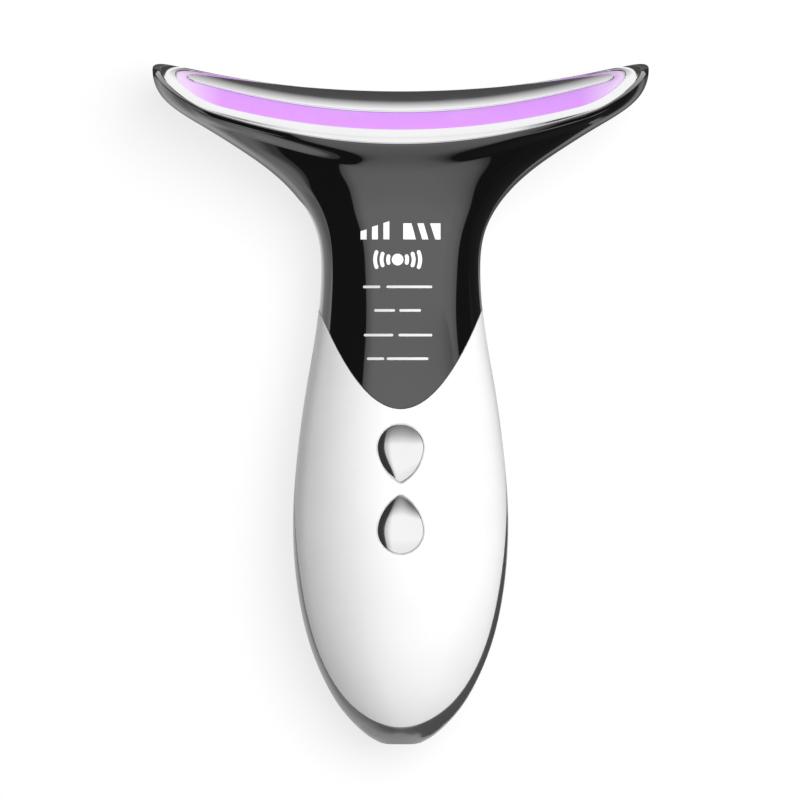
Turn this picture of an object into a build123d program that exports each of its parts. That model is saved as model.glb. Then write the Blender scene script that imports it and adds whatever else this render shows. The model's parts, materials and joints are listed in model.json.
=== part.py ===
"""Handheld facial toning device: a moulded grip in three shells, a wide saddle-shaped head with two
electrodes and a light ring, two drop-shaped buttons, and the electronics that the shells hold.

Frame, in millimetres: the device lies on its back. +Y runs along the handle to the head, +Z is the
front with the buttons, and the origin is at the bottom centre of the whole. Places along the handle are
given as the distance from its bottom end, which along() turns into y.
"""

import os
from math import asin, cos, radians, sin, sqrt

from build123d import *

os.makedirs("parts", exist_ok=True)

# ------------------------------------------------------------------ driving sizes
# Body form: oval sections across the handle, from the bottom end up to past the face. Each has its
# distance from the bottom end, its centre's height, its lean towards the front in degrees, half-width,
# half-depth, the radius of its rounded sides, and how far in front of its centre the shells' seam lies.
middle_y = 79.0
body_stations = [
    (0.0, 15.6, 0, 4.2, 3.1, 2.3, 8.7),
    (1.2, 15.7, 0, 6.5, 5.0, 3.7, 8.4),
    (3.2, 15.9, 0, 9.2, 7.1, 5.2, 7.9),
    (7.0, 16.2, 0, 12.9, 9.8, 7.2, 6.9),
    (13.5, 16.6, 0, 17.1, 12.9, 9.5, 5.9),
    (22.5, 17.0, 0, 20.9, 15.6, 11.5, 5.5),
    (35.0, 17.3, 0, 23.8, 17.9, 13.0, 5.3),
    (52.0, 17.4, 0, 25.0, 18.8, 13.7, 3.6),
    (67.0, 17.3, 0, 24.0, 18.3, 13.4, 1.0),
    (82.0, 16.9, 0, 22.0, 16.7, 12.4, 0.0),
    (97.0, 16.5, 1, 19.5, 14.7, 11.0, 0.0),
    (110.0, 16.3, 4, 18.5, 13.4, 10.2, 0.0),
    (119.0, 16.5, 7.5, 19.6, 13.5, 10.4, 0.0),
    (127.0, 17.1, 11, 24.0, 14.4, 11.1, 0.0),
    (134.0, 18.1, 14.5, 31.0, 16.1, 12.3, 0.0),
    (140.0, 19.0, 17, 39.2, 18.2, 13.9, 0.0),
    (145.0, 19.8, 18, 47.0, 20.5, 15.0, 0.0),
    (149.7, 21.3, 18, 54.2, 21.3, 15.6, 0.0),
    (154.0, 22.7, 18, 57.1, 22.0, 16.0, 0.0),
    (159.0, 24.3, 18, 57.4, 22.4, 16.2, 0.0),
]
wall = 2.0
cavity_start = 3.2
shell_gap = 0.1
lip_thickness = 0.9
lip_height = 1.6
lip_clearance = 0.06
lip_end = 128.0
overrun = 10.0
hole_extra = 1.0

# Head face: a saddle, hollow across the head and round from front to back.
face_distance = 149.7
face_height = 21.3
face_lean = 18.0
face_hollow_radius = 225.0
face_round_radius = 44.0
face_half_angle = 44.4
face_reach = 25.0

# Outlines on the face: half-width across, half-depth front to back, radius of the rounded ends.
ring_outline = (55.0, 19.3, 14.2)
ring_width = 3.8
plate_outline = (49.4, 7.8, 2.5)
face_fit = 0.1
electrode_thickness = 0.8
gasket_thickness = 0.3
light_ring_drop = 0.3
light_ring_thickness = 2.3
frame_depth = 3.6
frame_clearance = 0.15

# Black tongue between the white flanks: a parabola, its lowest point and how fast it opens.
tongue_tip = 77.9
tongue_opening = 0.0635
tongue_half_width = 24.0
tongue_steps = 5
tongue_ledge = 2.4

# Drop-shaped buttons.
drop_round_radius = 5.4
drop_point_radius = 1.3
drop_flank_radius = 10.0
drop_length = 13.6
upper_drop_distance = 69.0
lower_drop_distance = 49.8
button_clearance = 0.15
button_rise = 1.5
button_dome_radius = 16.0
flange_width = 1.0
flange_thickness = 1.2
flange_gap = 0.2
stem_radius = 2.2
button_travel = 0.5

# Tact switches under the buttons.
switch_size = 6.0
switch_height = 3.5
switch_corner = 0.4
plunger_radius = 1.7
plunger_rise = 1.6
plunger_inside = 1.0
plunger_clearance = 0.05

# Main board, its posts in rows of two, given as distance and spacing, and its screws.
board_top = 24.6
board_thickness = 1.2
board_start = 38.0
board_shoulder = 94.0
board_end = 123.0
board_width = 24.0
board_neck_width = 18.0
board_corner = 2.0
board_margin = 0.5
post_radius = 2.5
post_rows = ((42.0, 20.0), (88.0, 17.0))
screw_radius = 1.0
screw_head_radius = 1.8
screw_head_height = 1.2
screw_length = 7.0
screw_clearance = 0.05

# Battery cell in its cradle.
cell_radius = 7.0
cell_length = 50.0
cell_start = 29.0
cell_height = 9.7
cell_edge_radius = 0.6
cell_clearance = 0.1
cradle_width = 20.0
cradle_rise = 1.5
cradle_thickness = 1.6
cradle_distances = (34.0, 54.0, 74.0)
tab_thickness = 0.25
tab_width = 5.0
tab_height = 9.0
pad_width = 10.0
pad_length = 14.0
pad_distance = 59.5

# Vibration motor with its shaft along the handle.
motor_radius = 5.0
motor_length = 16.0
motor_start = 86.5
motor_height = 12.2
motor_edge_radius = 0.4
sleeve_thickness = 0.8
sleeve_length = 10.0
sleeve_clearance = 0.02
holder_width = 15.0
holder_thickness = 2.0
shaft_radius = 0.75
shaft_clearance = 0.04
shaft_inside = 6.0
weight_radius = 4.2
weight_hub_radius = 1.8
weight_length = 5.5
weight_gap = 1.4
shaft_end = 0.5

# Charge socket in the bottom end, and its board.
socket_width = 8.94
socket_thickness = 3.26
socket_wall = 0.3
socket_length = 7.3
socket_recess = 1.3
socket_tongue = (6.7, 0.7, 4.9)
socket_back = 1.0
socket_fit = 0.1
charge_board_start = 5.2
charge_board_length = 17.0
charge_board_width = 11.6
charge_board_thickness = 1.0
charge_post_radius = 1.9
charge_post_spacing = 7.0
charge_post_distance = 17.5
socket_height = 15.7

# Light board under the face, its lamps, and the posts and lugs that reach down to it.
light_board_depth = 8.0
light_board_thickness = 1.0
lamp_size = (3.5, 2.8, 1.4)
lamp_columns = 6
lamp_pitch = 9.5
lamp_row_spacing = 20.0
lamp_window_margin = 1.0
frame_post_radius = 2.2
frame_post_spacing = 40.0
light_screw_length = 5.0
lug_width = 3.0
lug_thickness = 0.6
lug_clearance = 0.2
lug_foot = 3.2
thermistor_radius = 1.0
thermistor_length = 2.0
thermistor_x = 9.0
layer_gap = 0.03

# Icon lamps and their light box behind the black panel.
icon_box_size = (17.2, 14.0)
icon_box_distance = 115.0
icon_box_wall = 0.9
icon_rows = (112.0, 118.2)
icon_columns = 3
icon_lamp = (1.6, 0.8, 0.6)
icon_lamp_pitch = 4.5

# Buzzer on the back of the main board.
buzzer_distance = 95.0
buzzer_radius = 4.5
buzzer_height = 3.5
buzzer_hole_radius = 0.8

# Chips and connectors on the front and the back of the main board: x, distance, width, length, height.
front_chips = [(0, 84.0, 7.0, 7.0, 1.0), (-6.5, 101.0, 3.0, 4.0, 1.8), (6.0, 101.0, 4.0, 3.0, 1.2)]
back_chips = [(-8.0, 70.0, 6.0, 6.0, 3.0), (8.0, 66.0, 3.0, 8.0, 1.5)]
ribbon_connector = (0, 119.5, 10.0, 4.0, 1.5)

# Wires and the ribbon cable.
lead_radius = 0.6
lead_bend = 2.0
lead_height = 21.0
lead_run = 3.5
lead_landing = 2.0
motor_lead_offset = 2.4
motor_lead_rise = 2.5
motor_lead_run = 1.8
charge_lead_offset = 3.2
charge_lead_start = 20.6
charge_lead_height = 19.2
ribbon_width = 8.0
ribbon_thickness = 0.3
ribbon_run = 6.0
ribbon_tail = 4.0
ribbon_turn = 6.0
ribbon_bend = 1.2


# ------------------------------------------------------------------ frames and shared forms
def along(distance):
    """The y of a place that far from the bottom end."""
    return distance - middle_y


lean = radians(face_lean)
face_normal = (0, cos(lean), sin(lean))
face_forward = (0, -sin(lean), cos(lean))
apex = Vector(0, along(face_distance), face_height)
face_plane = Plane(origin=apex, x_dir=(-1, 0, 0), z_dir=face_normal)
face_profile = Plane(origin=apex, x_dir=face_forward, z_dir=(-1, 0, 0))
hollow_axis = Axis(origin=apex + Vector(*face_normal) * face_hollow_radius, direction=face_forward)
reach = 200.0


def oval(half_width, half_depth, end_radius):
    """An oval of two long arcs and two end arcs, all tangent."""
    side = half_width - end_radius
    long_radius = (side**2 + half_depth**2 - end_radius**2) / (2 * (half_depth - end_radius))
    share = long_radius / (long_radius - end_radius)
    joint = (side * share, half_depth - long_radius + (long_radius - half_depth) * share)
    with BuildSketch() as outline:
        with BuildLine():
            top = ThreePointArc((joint[0], joint[1]), (0, half_depth), (-joint[0], joint[1]))
            left = ThreePointArc(top @ 1, (-half_width, 0), (-joint[0], -joint[1]))
            bottom = ThreePointArc(left @ 1, (0, -half_depth), (joint[0], -joint[1]))
            ThreePointArc(bottom @ 1, (half_width, 0), top @ 0)
        make_face()
    return outline.sketch


def slope(index, column):
    """How fast a column of the body stations grows along the handle."""
    before = body_stations[max(index - 1, 0)]
    after = body_stations[min(index + 1, len(body_stations) - 1)]
    return (after[column] - before[column]) / (after[0] - before[0])


def body_form(inset, first_distance=0.0):
    """The smooth form of the whole body, an inset below its outer surface, flat where it rests."""
    with BuildPart() as form:
        for index, station in enumerate(body_stations):
            distance, height, lean_angle, half_width, half_depth, end_radius = station[:6]
            if distance < first_distance:
                continue
            across = inset * sqrt(1 + slope(index, 3) ** 2)
            deep = inset * sqrt(1 + slope(index, 4) ** 2)
            angle = radians(lean_angle)
            section = Plane(
                origin=(0, along(distance), height), x_dir=(1, 0, 0), z_dir=(0, -cos(angle), -sin(angle))
            )
            with BuildSketch(section):
                add(oval(half_width - across, half_depth - deep, end_radius - (across + deep) / 2))
        loft()
        split(bisect_by=Plane.XY.offset(inset), keep=Keep.TOP)
    return form.part


def saddle_layer(top, bottom):
    """The space between two depths below the head's saddle-shaped face; a negative top is above it."""
    outer = face_round_radius - top
    inner = face_round_radius - bottom
    spread = radians(face_half_angle)
    with BuildPart() as layer:
        with BuildSketch(face_profile):
            with BuildLine():
                crown = ThreePointArc(
                    (-outer * sin(spread), outer * cos(spread) - face_round_radius),
                    (0, -top),
                    (outer * sin(spread), outer * cos(spread) - face_round_radius),
                )
                floor = ThreePointArc(
                    (-inner * sin(spread), inner * cos(spread) - face_round_radius),
                    (0, -bottom),
                    (inner * sin(spread), inner * cos(spread) - face_round_radius),
                )
                Line(crown @ 0, floor @ 0)
                Line(crown @ 1, floor @ 1)
            make_face()
        revolve(axis=hollow_axis)
    return layer.part


def face_prism(outline, grow=0.0):
    """A block through the face with an oval outline, grown by a margin."""
    half_width, half_depth, end_radius = outline
    with BuildPart() as prism:
        with BuildSketch(face_plane):
            add(oval(half_width + grow, half_depth + grow, end_radius + grow))
        extrude(amount=face_reach, both=True)
    return prism.part


def front_of_seam(offset=0.0):
    """Everything in front of the seam between the rear shell and the covers, moved forward by an offset."""
    points = [(along(s[0]), s[1] + s[6] + offset) for s in body_stations]
    with BuildPart() as front:
        with BuildSketch(Plane.YZ):
            with BuildLine():
                seam = Spline(*points)
                Polyline(
                    seam @ 1,
                    (along(reach), reach),
                    (along(-overrun), reach),
                    (along(-overrun), points[0][1]),
                    seam @ 0,
                )
            make_face()
        extrude(amount=reach / 2, both=True)
    return front.part


def tongue_region(grow=0.0):
    """The plan of the black tongue and all above it, grown by a margin."""
    points = []
    for step in range(-tongue_steps, tongue_steps + 1):
        x = tongue_half_width * step / tongue_steps
        tilt = 2 * tongue_opening * x
        share = grow / sqrt(1 + tilt**2)
        points.append((x + tilt * share, along(tongue_tip + tongue_opening * x**2) - share))
    with BuildPart() as region:
        with BuildSketch():
            with BuildLine():
                Spline(*points)
                Polyline(
                    points[-1],
                    (reach / 2, points[-1][1]),
                    (reach / 2, reach),
                    (-reach / 2, reach),
                    (-reach / 2, points[0][1]),
                    points[0],
                )
            make_face()
        extrude(amount=reach)
    return region.part


def front_height(distance):
    """The height of the body's front surface on the centre line, that far along the handle."""
    for before, after in zip(body_stations, body_stations[1:]):
        if before[0] <= distance <= after[0]:
            share = (distance - before[0]) / (after[0] - before[0])
            return (before[1] + before[4]) * (1 - share) + (after[1] + after[4]) * share


def drop(grow=0.0):
    """A drop outline round the centre of its round end, with its point towards -y, grown by a margin."""
    spacing = drop_length - drop_round_radius - drop_point_radius
    to_round = drop_flank_radius - drop_round_radius
    to_point = drop_flank_radius - drop_point_radius
    centre_y = (to_point**2 - to_round**2 - spacing**2) / (2 * spacing)
    centre_x = sqrt(to_round**2 - centre_y**2)
    flank = drop_flank_radius + grow
    upper = (centre_x * (flank / to_round - 1), centre_y * (1 - flank / to_round))
    lower = (centre_x * (flank / to_point - 1), centre_y - (centre_y + spacing) * flank / to_point)
    middle_angle = asin((centre_y + spacing / 2) / flank)
    middle = (flank * cos(middle_angle) - centre_x, centre_y - flank * sin(middle_angle))
    with BuildSketch() as outline:
        with BuildLine():
            ThreePointArc(upper, (0, drop_round_radius + grow), (-upper[0], upper[1]))
            ThreePointArc((-upper[0], upper[1]), (-middle[0], middle[1]), (-lower[0], lower[1]))
            ThreePointArc((-lower[0], lower[1]), (0, -spacing - drop_point_radius - grow), lower)
            ThreePointArc(lower, middle, upper)
        make_face()
    return outline.sketch


def drop_plane(distance, height, point_up):
    """A level plane at a button, turned so that the drop's point looks up or down the handle."""
    return Plane(origin=(0, along(distance), height), x_dir=(-1 if point_up else 1, 0, 0), z_dir=(0, 0, 1))


def face_sag(forward):
    """How far the face has fallen from its crest, that far forward or back on the middle line."""
    return face_round_radius - sqrt(face_round_radius**2 - forward**2)


def face_block(width, depth, top, bottom, centres):
    """Upright blocks under the face, between two depths below its middle, at places on the face plane."""
    with BuildPart() as blocks:
        with BuildSketch(face_plane.offset(-bottom)):
            with Locations(*centres):
                Rectangle(width, depth)
        extrude(amount=bottom - top)
    return blocks.part


def face_pin(radius, top, bottom, centres):
    """Round pins under the face, between two depths below its middle, at places on the face plane."""
    with BuildPart() as pins:
        with BuildSketch(face_plane.offset(-bottom)):
            with Locations(*centres):
                Circle(radius)
        extrude(amount=bottom - top)
    return pins.part


def lead(x, radii, *points):
    """An insulated wire in a plane across x, along rounded runs given as distance and height."""
    path_plane = Plane(origin=(x, 0, 0), x_dir=(0, 1, 0), z_dir=(1, 0, 0))
    with BuildPart() as wire:
        with BuildLine(path_plane) as route:
            FilletPolyline(*[(along(distance), height) for distance, height in points], radius=radii)
        with BuildSketch(Plane(origin=route.line @ 0, z_dir=route.line % 0)):
            Circle(lead_radius)
        sweep(path=route.line)
    return wire.part


outer_form = body_form(0.0)
inner_form = body_form(wall, cavity_start)
half_wall_form = body_form(wall / 2)
fitting_form = body_form(wall + board_margin, cavity_start)
lip_root_form = body_form(wall - lip_thickness / 2, cavity_start)
lip_outer_form = body_form(wall + lip_clearance, cavity_start)
lip_inner_form = body_form(wall + lip_clearance + lip_thickness, cavity_start)
board_bottom = board_top - board_thickness
pocket_depth = electrode_thickness + gasket_thickness + layer_gap
socket_bottom = socket_height - socket_thickness / 2
post_places = [(end * spacing / 2, along(distance)) for distance, spacing in post_rows for end in (-1, 1)]
charge_post_places = [(end * charge_post_spacing / 2, along(charge_post_distance)) for end in (-1, 1)]
frame_post_places = [(end * frame_post_spacing / 2, 0) for end in (-1, 1)]
thermistor_places = [(thermistor_x, 0)]
lug_slot = (lug_width + lug_clearance, lug_thickness + lug_clearance)
under_electrode = (electrode_thickness + layer_gap, electrode_thickness + gasket_thickness)

# ------------------------------------------------------------------ shells
# The hollow body before it is parted: outer form less inner form, cut off at the saddle, with a shallow
# pocket that takes the face pieces and leaves a thin lip round them.
with BuildPart() as face_pocket:
    add(face_prism(ring_outline, face_fit))
    add(saddle_layer(-face_reach, pocket_depth), mode=Mode.INTERSECT)

with BuildPart() as shell:
    add(outer_form)
    add(inner_form, mode=Mode.SUBTRACT)
    add(saddle_layer(-face_reach, 0), mode=Mode.SUBTRACT)
    add(face_pocket.part, mode=Mode.SUBTRACT)

# Lip along the rear shell's seam, standing inside the covers as far as the head.
with BuildPart() as seam_lip:
    add(lip_outer_form)
    add(front_of_seam(lip_height), mode=Mode.SUBTRACT)
    add(lip_inner_form, mode=Mode.SUBTRACT)
    add(front_of_seam(-lip_height), mode=Mode.INTERSECT)
    split(bisect_by=Plane(origin=(0, along(lip_end), 0), z_dir=(0, 1, 0)), keep=Keep.BOTTOM)

# Root that joins the lip to the wall below the seam.
with BuildPart() as lip_root:
    add(lip_root_form)
    add(front_of_seam(), mode=Mode.SUBTRACT)
    add(lip_inner_form, mode=Mode.SUBTRACT)
    add(front_of_seam(-lip_height), mode=Mode.INTERSECT)
    split(bisect_by=Plane(origin=(0, along(lip_end), 0), z_dir=(0, 1, 0)), keep=Keep.BOTTOM)

# Posts, cradle ribs and motor holders that rise from the rear shell's back.
with BuildPart() as rear_fittings:
    with BuildSketch(Plane.XY):
        with Locations(*post_places):
            Circle(post_radius)
    extrude(amount=board_bottom)
    with BuildSketch(Plane.XY):
        with Locations(*charge_post_places):
            Circle(charge_post_radius)
    extrude(amount=socket_bottom - charge_board_thickness)
    for distance in cradle_distances:
        with BuildSketch(Plane(origin=(0, along(distance), 0), x_dir=(1, 0, 0), z_dir=(0, -1, 0))):
            Rectangle(cradle_width, cell_height + cradle_rise, align=(Align.CENTER, Align.MIN))
            with Locations((0, cell_height)):
                Circle(cell_radius + cell_clearance, mode=Mode.SUBTRACT)
        extrude(amount=cradle_thickness / 2, both=True)
    for end in (-1, 1):
        rib = motor_start + motor_length / 2 + end * (sleeve_length - holder_thickness) / 2
        with BuildSketch(Plane(origin=(0, along(rib), 0), x_dir=(1, 0, 0), z_dir=(0, -1, 0))):
            Rectangle(holder_width, motor_height, align=(Align.CENTER, Align.MIN))
            with Locations((0, motor_height)):
                Circle(motor_radius + sleeve_thickness + sleeve_clearance, mode=Mode.SUBTRACT)
        extrude(amount=holder_thickness / 2, both=True)
    add(half_wall_form, mode=Mode.INTERSECT)

with BuildPart() as rear_shell:
    add(shell.part)
    add(front_of_seam(), mode=Mode.SUBTRACT)
    add(rear_fittings.part)
    add(lip_root.part)
    add(seam_lip.part)
    with BuildSketch(Plane.XY.offset(board_bottom)):
        with Locations(*post_places):
            Circle(screw_radius + screw_clearance)
    extrude(amount=-(screw_length - board_thickness + hole_extra), mode=Mode.SUBTRACT)
    with BuildSketch(Plane.XY.offset(socket_bottom - charge_board_thickness)):
        with Locations(*charge_post_places):
            Circle(screw_radius + screw_clearance)
    extrude(amount=-(screw_length - charge_board_thickness + hole_extra), mode=Mode.SUBTRACT)
    with BuildSketch(Plane(origin=(0, along(0), socket_height), x_dir=(1, 0, 0), z_dir=(0, 1, 0))):
        SlotOverall(socket_width + 2 * socket_fit, socket_thickness + 2 * socket_fit)
    extrude(amount=cavity_start + hole_extra, mode=Mode.SUBTRACT)
rear_shell.part.label = "rear_shell"
export_step(rear_shell.part, "parts/rear_shell.step")

with BuildPart() as head_cover:
    add(shell.part)
    add(front_of_seam(shell_gap), mode=Mode.INTERSECT)
    add(tongue_region(), mode=Mode.INTERSECT)
head_cover.part.label = "head_cover"
export_step(head_cover.part, "parts/head_cover.step")

# Ledge under the tongue's edge, and its root in the front cover's wall.
with BuildPart() as tongue_shelf:
    add(lip_outer_form)
    add(lip_inner_form, mode=Mode.SUBTRACT)
    add(tongue_region(-tongue_ledge), mode=Mode.SUBTRACT)
    add(tongue_region(lip_height), mode=Mode.INTERSECT)
    add(front_of_seam(lip_height + lip_thickness), mode=Mode.INTERSECT)

with BuildPart() as shelf_root:
    add(lip_root_form)
    add(lip_inner_form, mode=Mode.SUBTRACT)
    add(tongue_region(shell_gap), mode=Mode.SUBTRACT)
    add(tongue_region(lip_height), mode=Mode.INTERSECT)
    add(front_of_seam(lip_height + lip_thickness), mode=Mode.INTERSECT)

with BuildPart() as front_cover:
    add(shell.part)
    add(front_of_seam(shell_gap), mode=Mode.INTERSECT)
    add(tongue_region(shell_gap), mode=Mode.SUBTRACT)
    for distance, point_up in ((upper_drop_distance, False), (lower_drop_distance, True)):
        with BuildSketch(drop_plane(distance, board_top, point_up)):
            add(drop(button_clearance))
        extrude(amount=2 * overrun, mode=Mode.SUBTRACT)
    add(shelf_root.part)
    add(tongue_shelf.part)
front_cover.part.label = "front_cover"
export_step(front_cover.part, "parts/front_cover.step")

# ------------------------------------------------------------------ face pieces
light_outline = tuple(size - ring_width for size in ring_outline)
lug_offset = light_outline[1] + lug_thickness
foot_offset = lug_offset - (lug_foot - lug_thickness) / 2
lug_places = [(0, -lug_offset), (0, lug_offset)]
foot_places = [(0, -foot_offset), (0, foot_offset)]
lug_top = face_sag(lug_offset) + electrode_thickness / 2
lug_bottom = light_board_depth - layer_gap

with BuildPart() as outer_electrode:
    add(face_prism(ring_outline))
    add(face_prism(light_outline), mode=Mode.SUBTRACT)
    add(saddle_layer(0, electrode_thickness), mode=Mode.INTERSECT)
    add(face_block(lug_width, lug_thickness, lug_top, lug_bottom, lug_places))
    add(face_block(lug_width, lug_foot, lug_bottom - lug_thickness, lug_bottom, foot_places))
outer_electrode.part.label = "outer_electrode"
export_step(outer_electrode.part, "parts/outer_electrode.step")

with BuildPart() as inner_electrode:
    add(face_prism(plate_outline))
    add(saddle_layer(0, electrode_thickness), mode=Mode.INTERSECT)
    add(face_block(lug_width, lug_thickness, electrode_thickness / 2, lug_bottom, [(0, 0)]))
inner_electrode.part.label = "inner_electrode"
export_step(inner_electrode.part, "parts/inner_electrode.step")

with BuildPart() as light_ring:
    add(face_prism(light_outline, -face_fit))
    add(face_prism(plate_outline, face_fit), mode=Mode.SUBTRACT)
    add(saddle_layer(light_ring_drop, light_ring_drop + light_ring_thickness), mode=Mode.INTERSECT)
light_ring.part.label = "light_ring"
export_step(light_ring.part, "parts/light_ring.step")

with BuildPart() as heater_film:
    add(face_prism(plate_outline, -face_fit))
    add(saddle_layer(*under_electrode), mode=Mode.INTERSECT)
    add(face_block(*lug_slot, -overrun, overrun, [(0, 0)]), mode=Mode.SUBTRACT)
heater_film.part.label = "heater_film"
export_step(heater_film.part, "parts/heater_film.step")

with BuildPart() as face_gasket:
    add(face_prism(ring_outline, -face_fit))
    add(face_prism(light_outline, face_fit), mode=Mode.SUBTRACT)
    add(saddle_layer(*under_electrode), mode=Mode.INTERSECT)
    add(face_block(*lug_slot, -overrun, overrun, lug_places), mode=Mode.SUBTRACT)
face_gasket.part.label = "face_gasket"
export_step(face_gasket.part, "parts/face_gasket.step")

lamp_places = [
    ((column - (lamp_columns - 1) / 2) * lamp_pitch, side * lamp_row_spacing / 2)
    for column in range(lamp_columns)
    for side in (-1, 1)
]
window = [size + 2 * lamp_window_margin for size in lamp_size[:2]]

# Frame under the face: a curved plate inside the shell, slotted for the light ring, with lamp windows.
with BuildPart() as light_slot:
    add(face_prism(light_outline))
    add(face_prism(plate_outline), mode=Mode.SUBTRACT)
    add(saddle_layer(-face_reach, light_ring_drop + light_ring_thickness + layer_gap), mode=Mode.INTERSECT)

light_screw_top = light_board_depth + light_board_thickness - light_screw_length
with BuildPart() as head_frame:
    add(body_form(wall + frame_clearance, cavity_start))
    add(saddle_layer(pocket_depth, frame_depth), mode=Mode.INTERSECT)
    add(light_slot.part, mode=Mode.SUBTRACT)
    add(face_pin(frame_post_radius, frame_depth - hole_extra, light_board_depth, frame_post_places))
    add(face_block(*window, -overrun, overrun, lamp_places), mode=Mode.SUBTRACT)
    add(face_block(*lug_slot, -overrun, overrun, lug_places + [(0, 0)]), mode=Mode.SUBTRACT)
    add(
        face_pin(screw_radius + screw_clearance, light_screw_top - hole_extra, overrun, frame_post_places),
        mode=Mode.SUBTRACT,
    )
    add(
        face_pin(thermistor_radius + screw_clearance, -overrun, overrun, thermistor_places),
        mode=Mode.SUBTRACT,
    )
head_frame.part.label = "head_frame"
export_step(head_frame.part, "parts/head_frame.step")

with BuildPart() as thermistor:
    add(face_pin(thermistor_radius, pocket_depth, pocket_depth + thermistor_length, thermistor_places))
thermistor.part.label = "thermistor"
export_step(thermistor.part, "parts/thermistor.step")

with BuildPart() as light_board:
    with BuildSketch(face_plane.offset(-light_board_depth)):
        Rectangle(reach, reach)
    extrude(amount=-light_board_thickness)
    add(fitting_form, mode=Mode.INTERSECT)
    add(face_pin(screw_radius + screw_clearance, 0, overrun, frame_post_places), mode=Mode.SUBTRACT)
light_board.part.label = "light_board"
export_step(light_board.part, "parts/light_board.step")

with BuildPart() as lamps:
    add(face_block(*lamp_size[:2], light_board_depth - lamp_size[2], light_board_depth, lamp_places))
lamps.part.label = "lamps"
export_step(lamps.part, "parts/lamps.step")

with BuildPart() as light_board_screws:
    under = light_board_depth + light_board_thickness
    add(face_pin(screw_radius, under - light_screw_length, under, frame_post_places))
    add(face_pin(screw_head_radius, under, under + screw_head_height, frame_post_places))
light_board_screws.part.label = "light_board_screws"
export_step(light_board_screws.part, "parts/light_board_screws.step")

# ------------------------------------------------------------------ main board and what it carries
with BuildPart() as main_board:
    with BuildSketch(Plane.XY.offset(board_bottom)):
        with Locations((0, along((board_start + board_shoulder) / 2))):
            RectangleRounded(board_width, board_shoulder - board_start, board_corner)
        with Locations((0, along((board_shoulder - board_corner * 2 + board_end) / 2))):
            RectangleRounded(board_neck_width, board_end - board_shoulder + board_corner * 2, board_corner)
        with Locations(*post_places):
            Circle(screw_radius + screw_clearance, mode=Mode.SUBTRACT)
    extrude(amount=board_thickness)
    add(fitting_form, mode=Mode.INTERSECT)
main_board.part.label = "main_board"
export_step(main_board.part, "parts/main_board.step")

with BuildPart() as board_screws:
    for places, height in ((post_places, board_top), (charge_post_places, socket_bottom)):
        with BuildSketch(Plane.XY.offset(height)):
            with Locations(*places):
                Circle(screw_radius)
        extrude(amount=-screw_length)
        with BuildSketch(Plane.XY.offset(height)):
            with Locations(*places):
                Circle(screw_head_radius)
        extrude(amount=screw_head_height)
board_screws.part.label = "board_screws"
export_step(board_screws.part, "parts/board_screws.step")

back_group = back_chips + [ribbon_connector]
with BuildPart() as board_components:
    for side, plane_height, group in ((1, board_top, front_chips), (-1, board_bottom, back_group)):
        for x, distance, width, length, height in group:
            with BuildSketch(Plane.XY.offset(plane_height)):
                with Locations((x, along(distance))):
                    Rectangle(width, length)
            extrude(amount=side * height)
board_components.part.label = "board_components"
export_step(board_components.part, "parts/board_components.step")

with BuildPart() as buzzer:
    with BuildSketch(Plane.XY.offset(board_bottom)):
        with Locations((0, along(buzzer_distance))):
            Circle(buzzer_radius)
    extrude(amount=-buzzer_height)
    with BuildSketch(Plane.XY.offset(board_bottom - buzzer_height)):
        with Locations((0, along(buzzer_distance))):
            Circle(buzzer_hole_radius)
    extrude(amount=buzzer_height / 2, mode=Mode.SUBTRACT)
buzzer.part.label = "buzzer"
export_step(buzzer.part, "parts/buzzer.step")

icon_places = [
    ((column - (icon_columns - 1) / 2) * icon_lamp_pitch, along(row))
    for row in icon_rows
    for column in range(icon_columns)
]
with BuildPart() as icon_lamps:
    with BuildSketch(Plane.XY.offset(board_top)):
        with Locations(*icon_places):
            Rectangle(*icon_lamp[:2])
    extrude(amount=icon_lamp[2])
icon_lamps.part.label = "icon_lamps"
export_step(icon_lamps.part, "parts/icon_lamps.step")

with BuildPart() as icon_light_box:
    cell_width = icon_box_size[0] - 2 * icon_box_wall
    cell_depth = (icon_box_size[1] - 3 * icon_box_wall) / 2
    with BuildSketch(Plane.XY.offset(board_top)):
        with Locations((0, along(icon_box_distance))):
            Rectangle(*icon_box_size)
            with GridLocations(0, cell_depth + icon_box_wall, 1, 2):
                Rectangle(cell_width, cell_depth, mode=Mode.SUBTRACT)
    extrude(amount=2 * overrun)
    add(lip_outer_form, mode=Mode.INTERSECT)
icon_light_box.part.label = "icon_light_box"
export_step(icon_light_box.part, "parts/icon_light_box.step")

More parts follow.
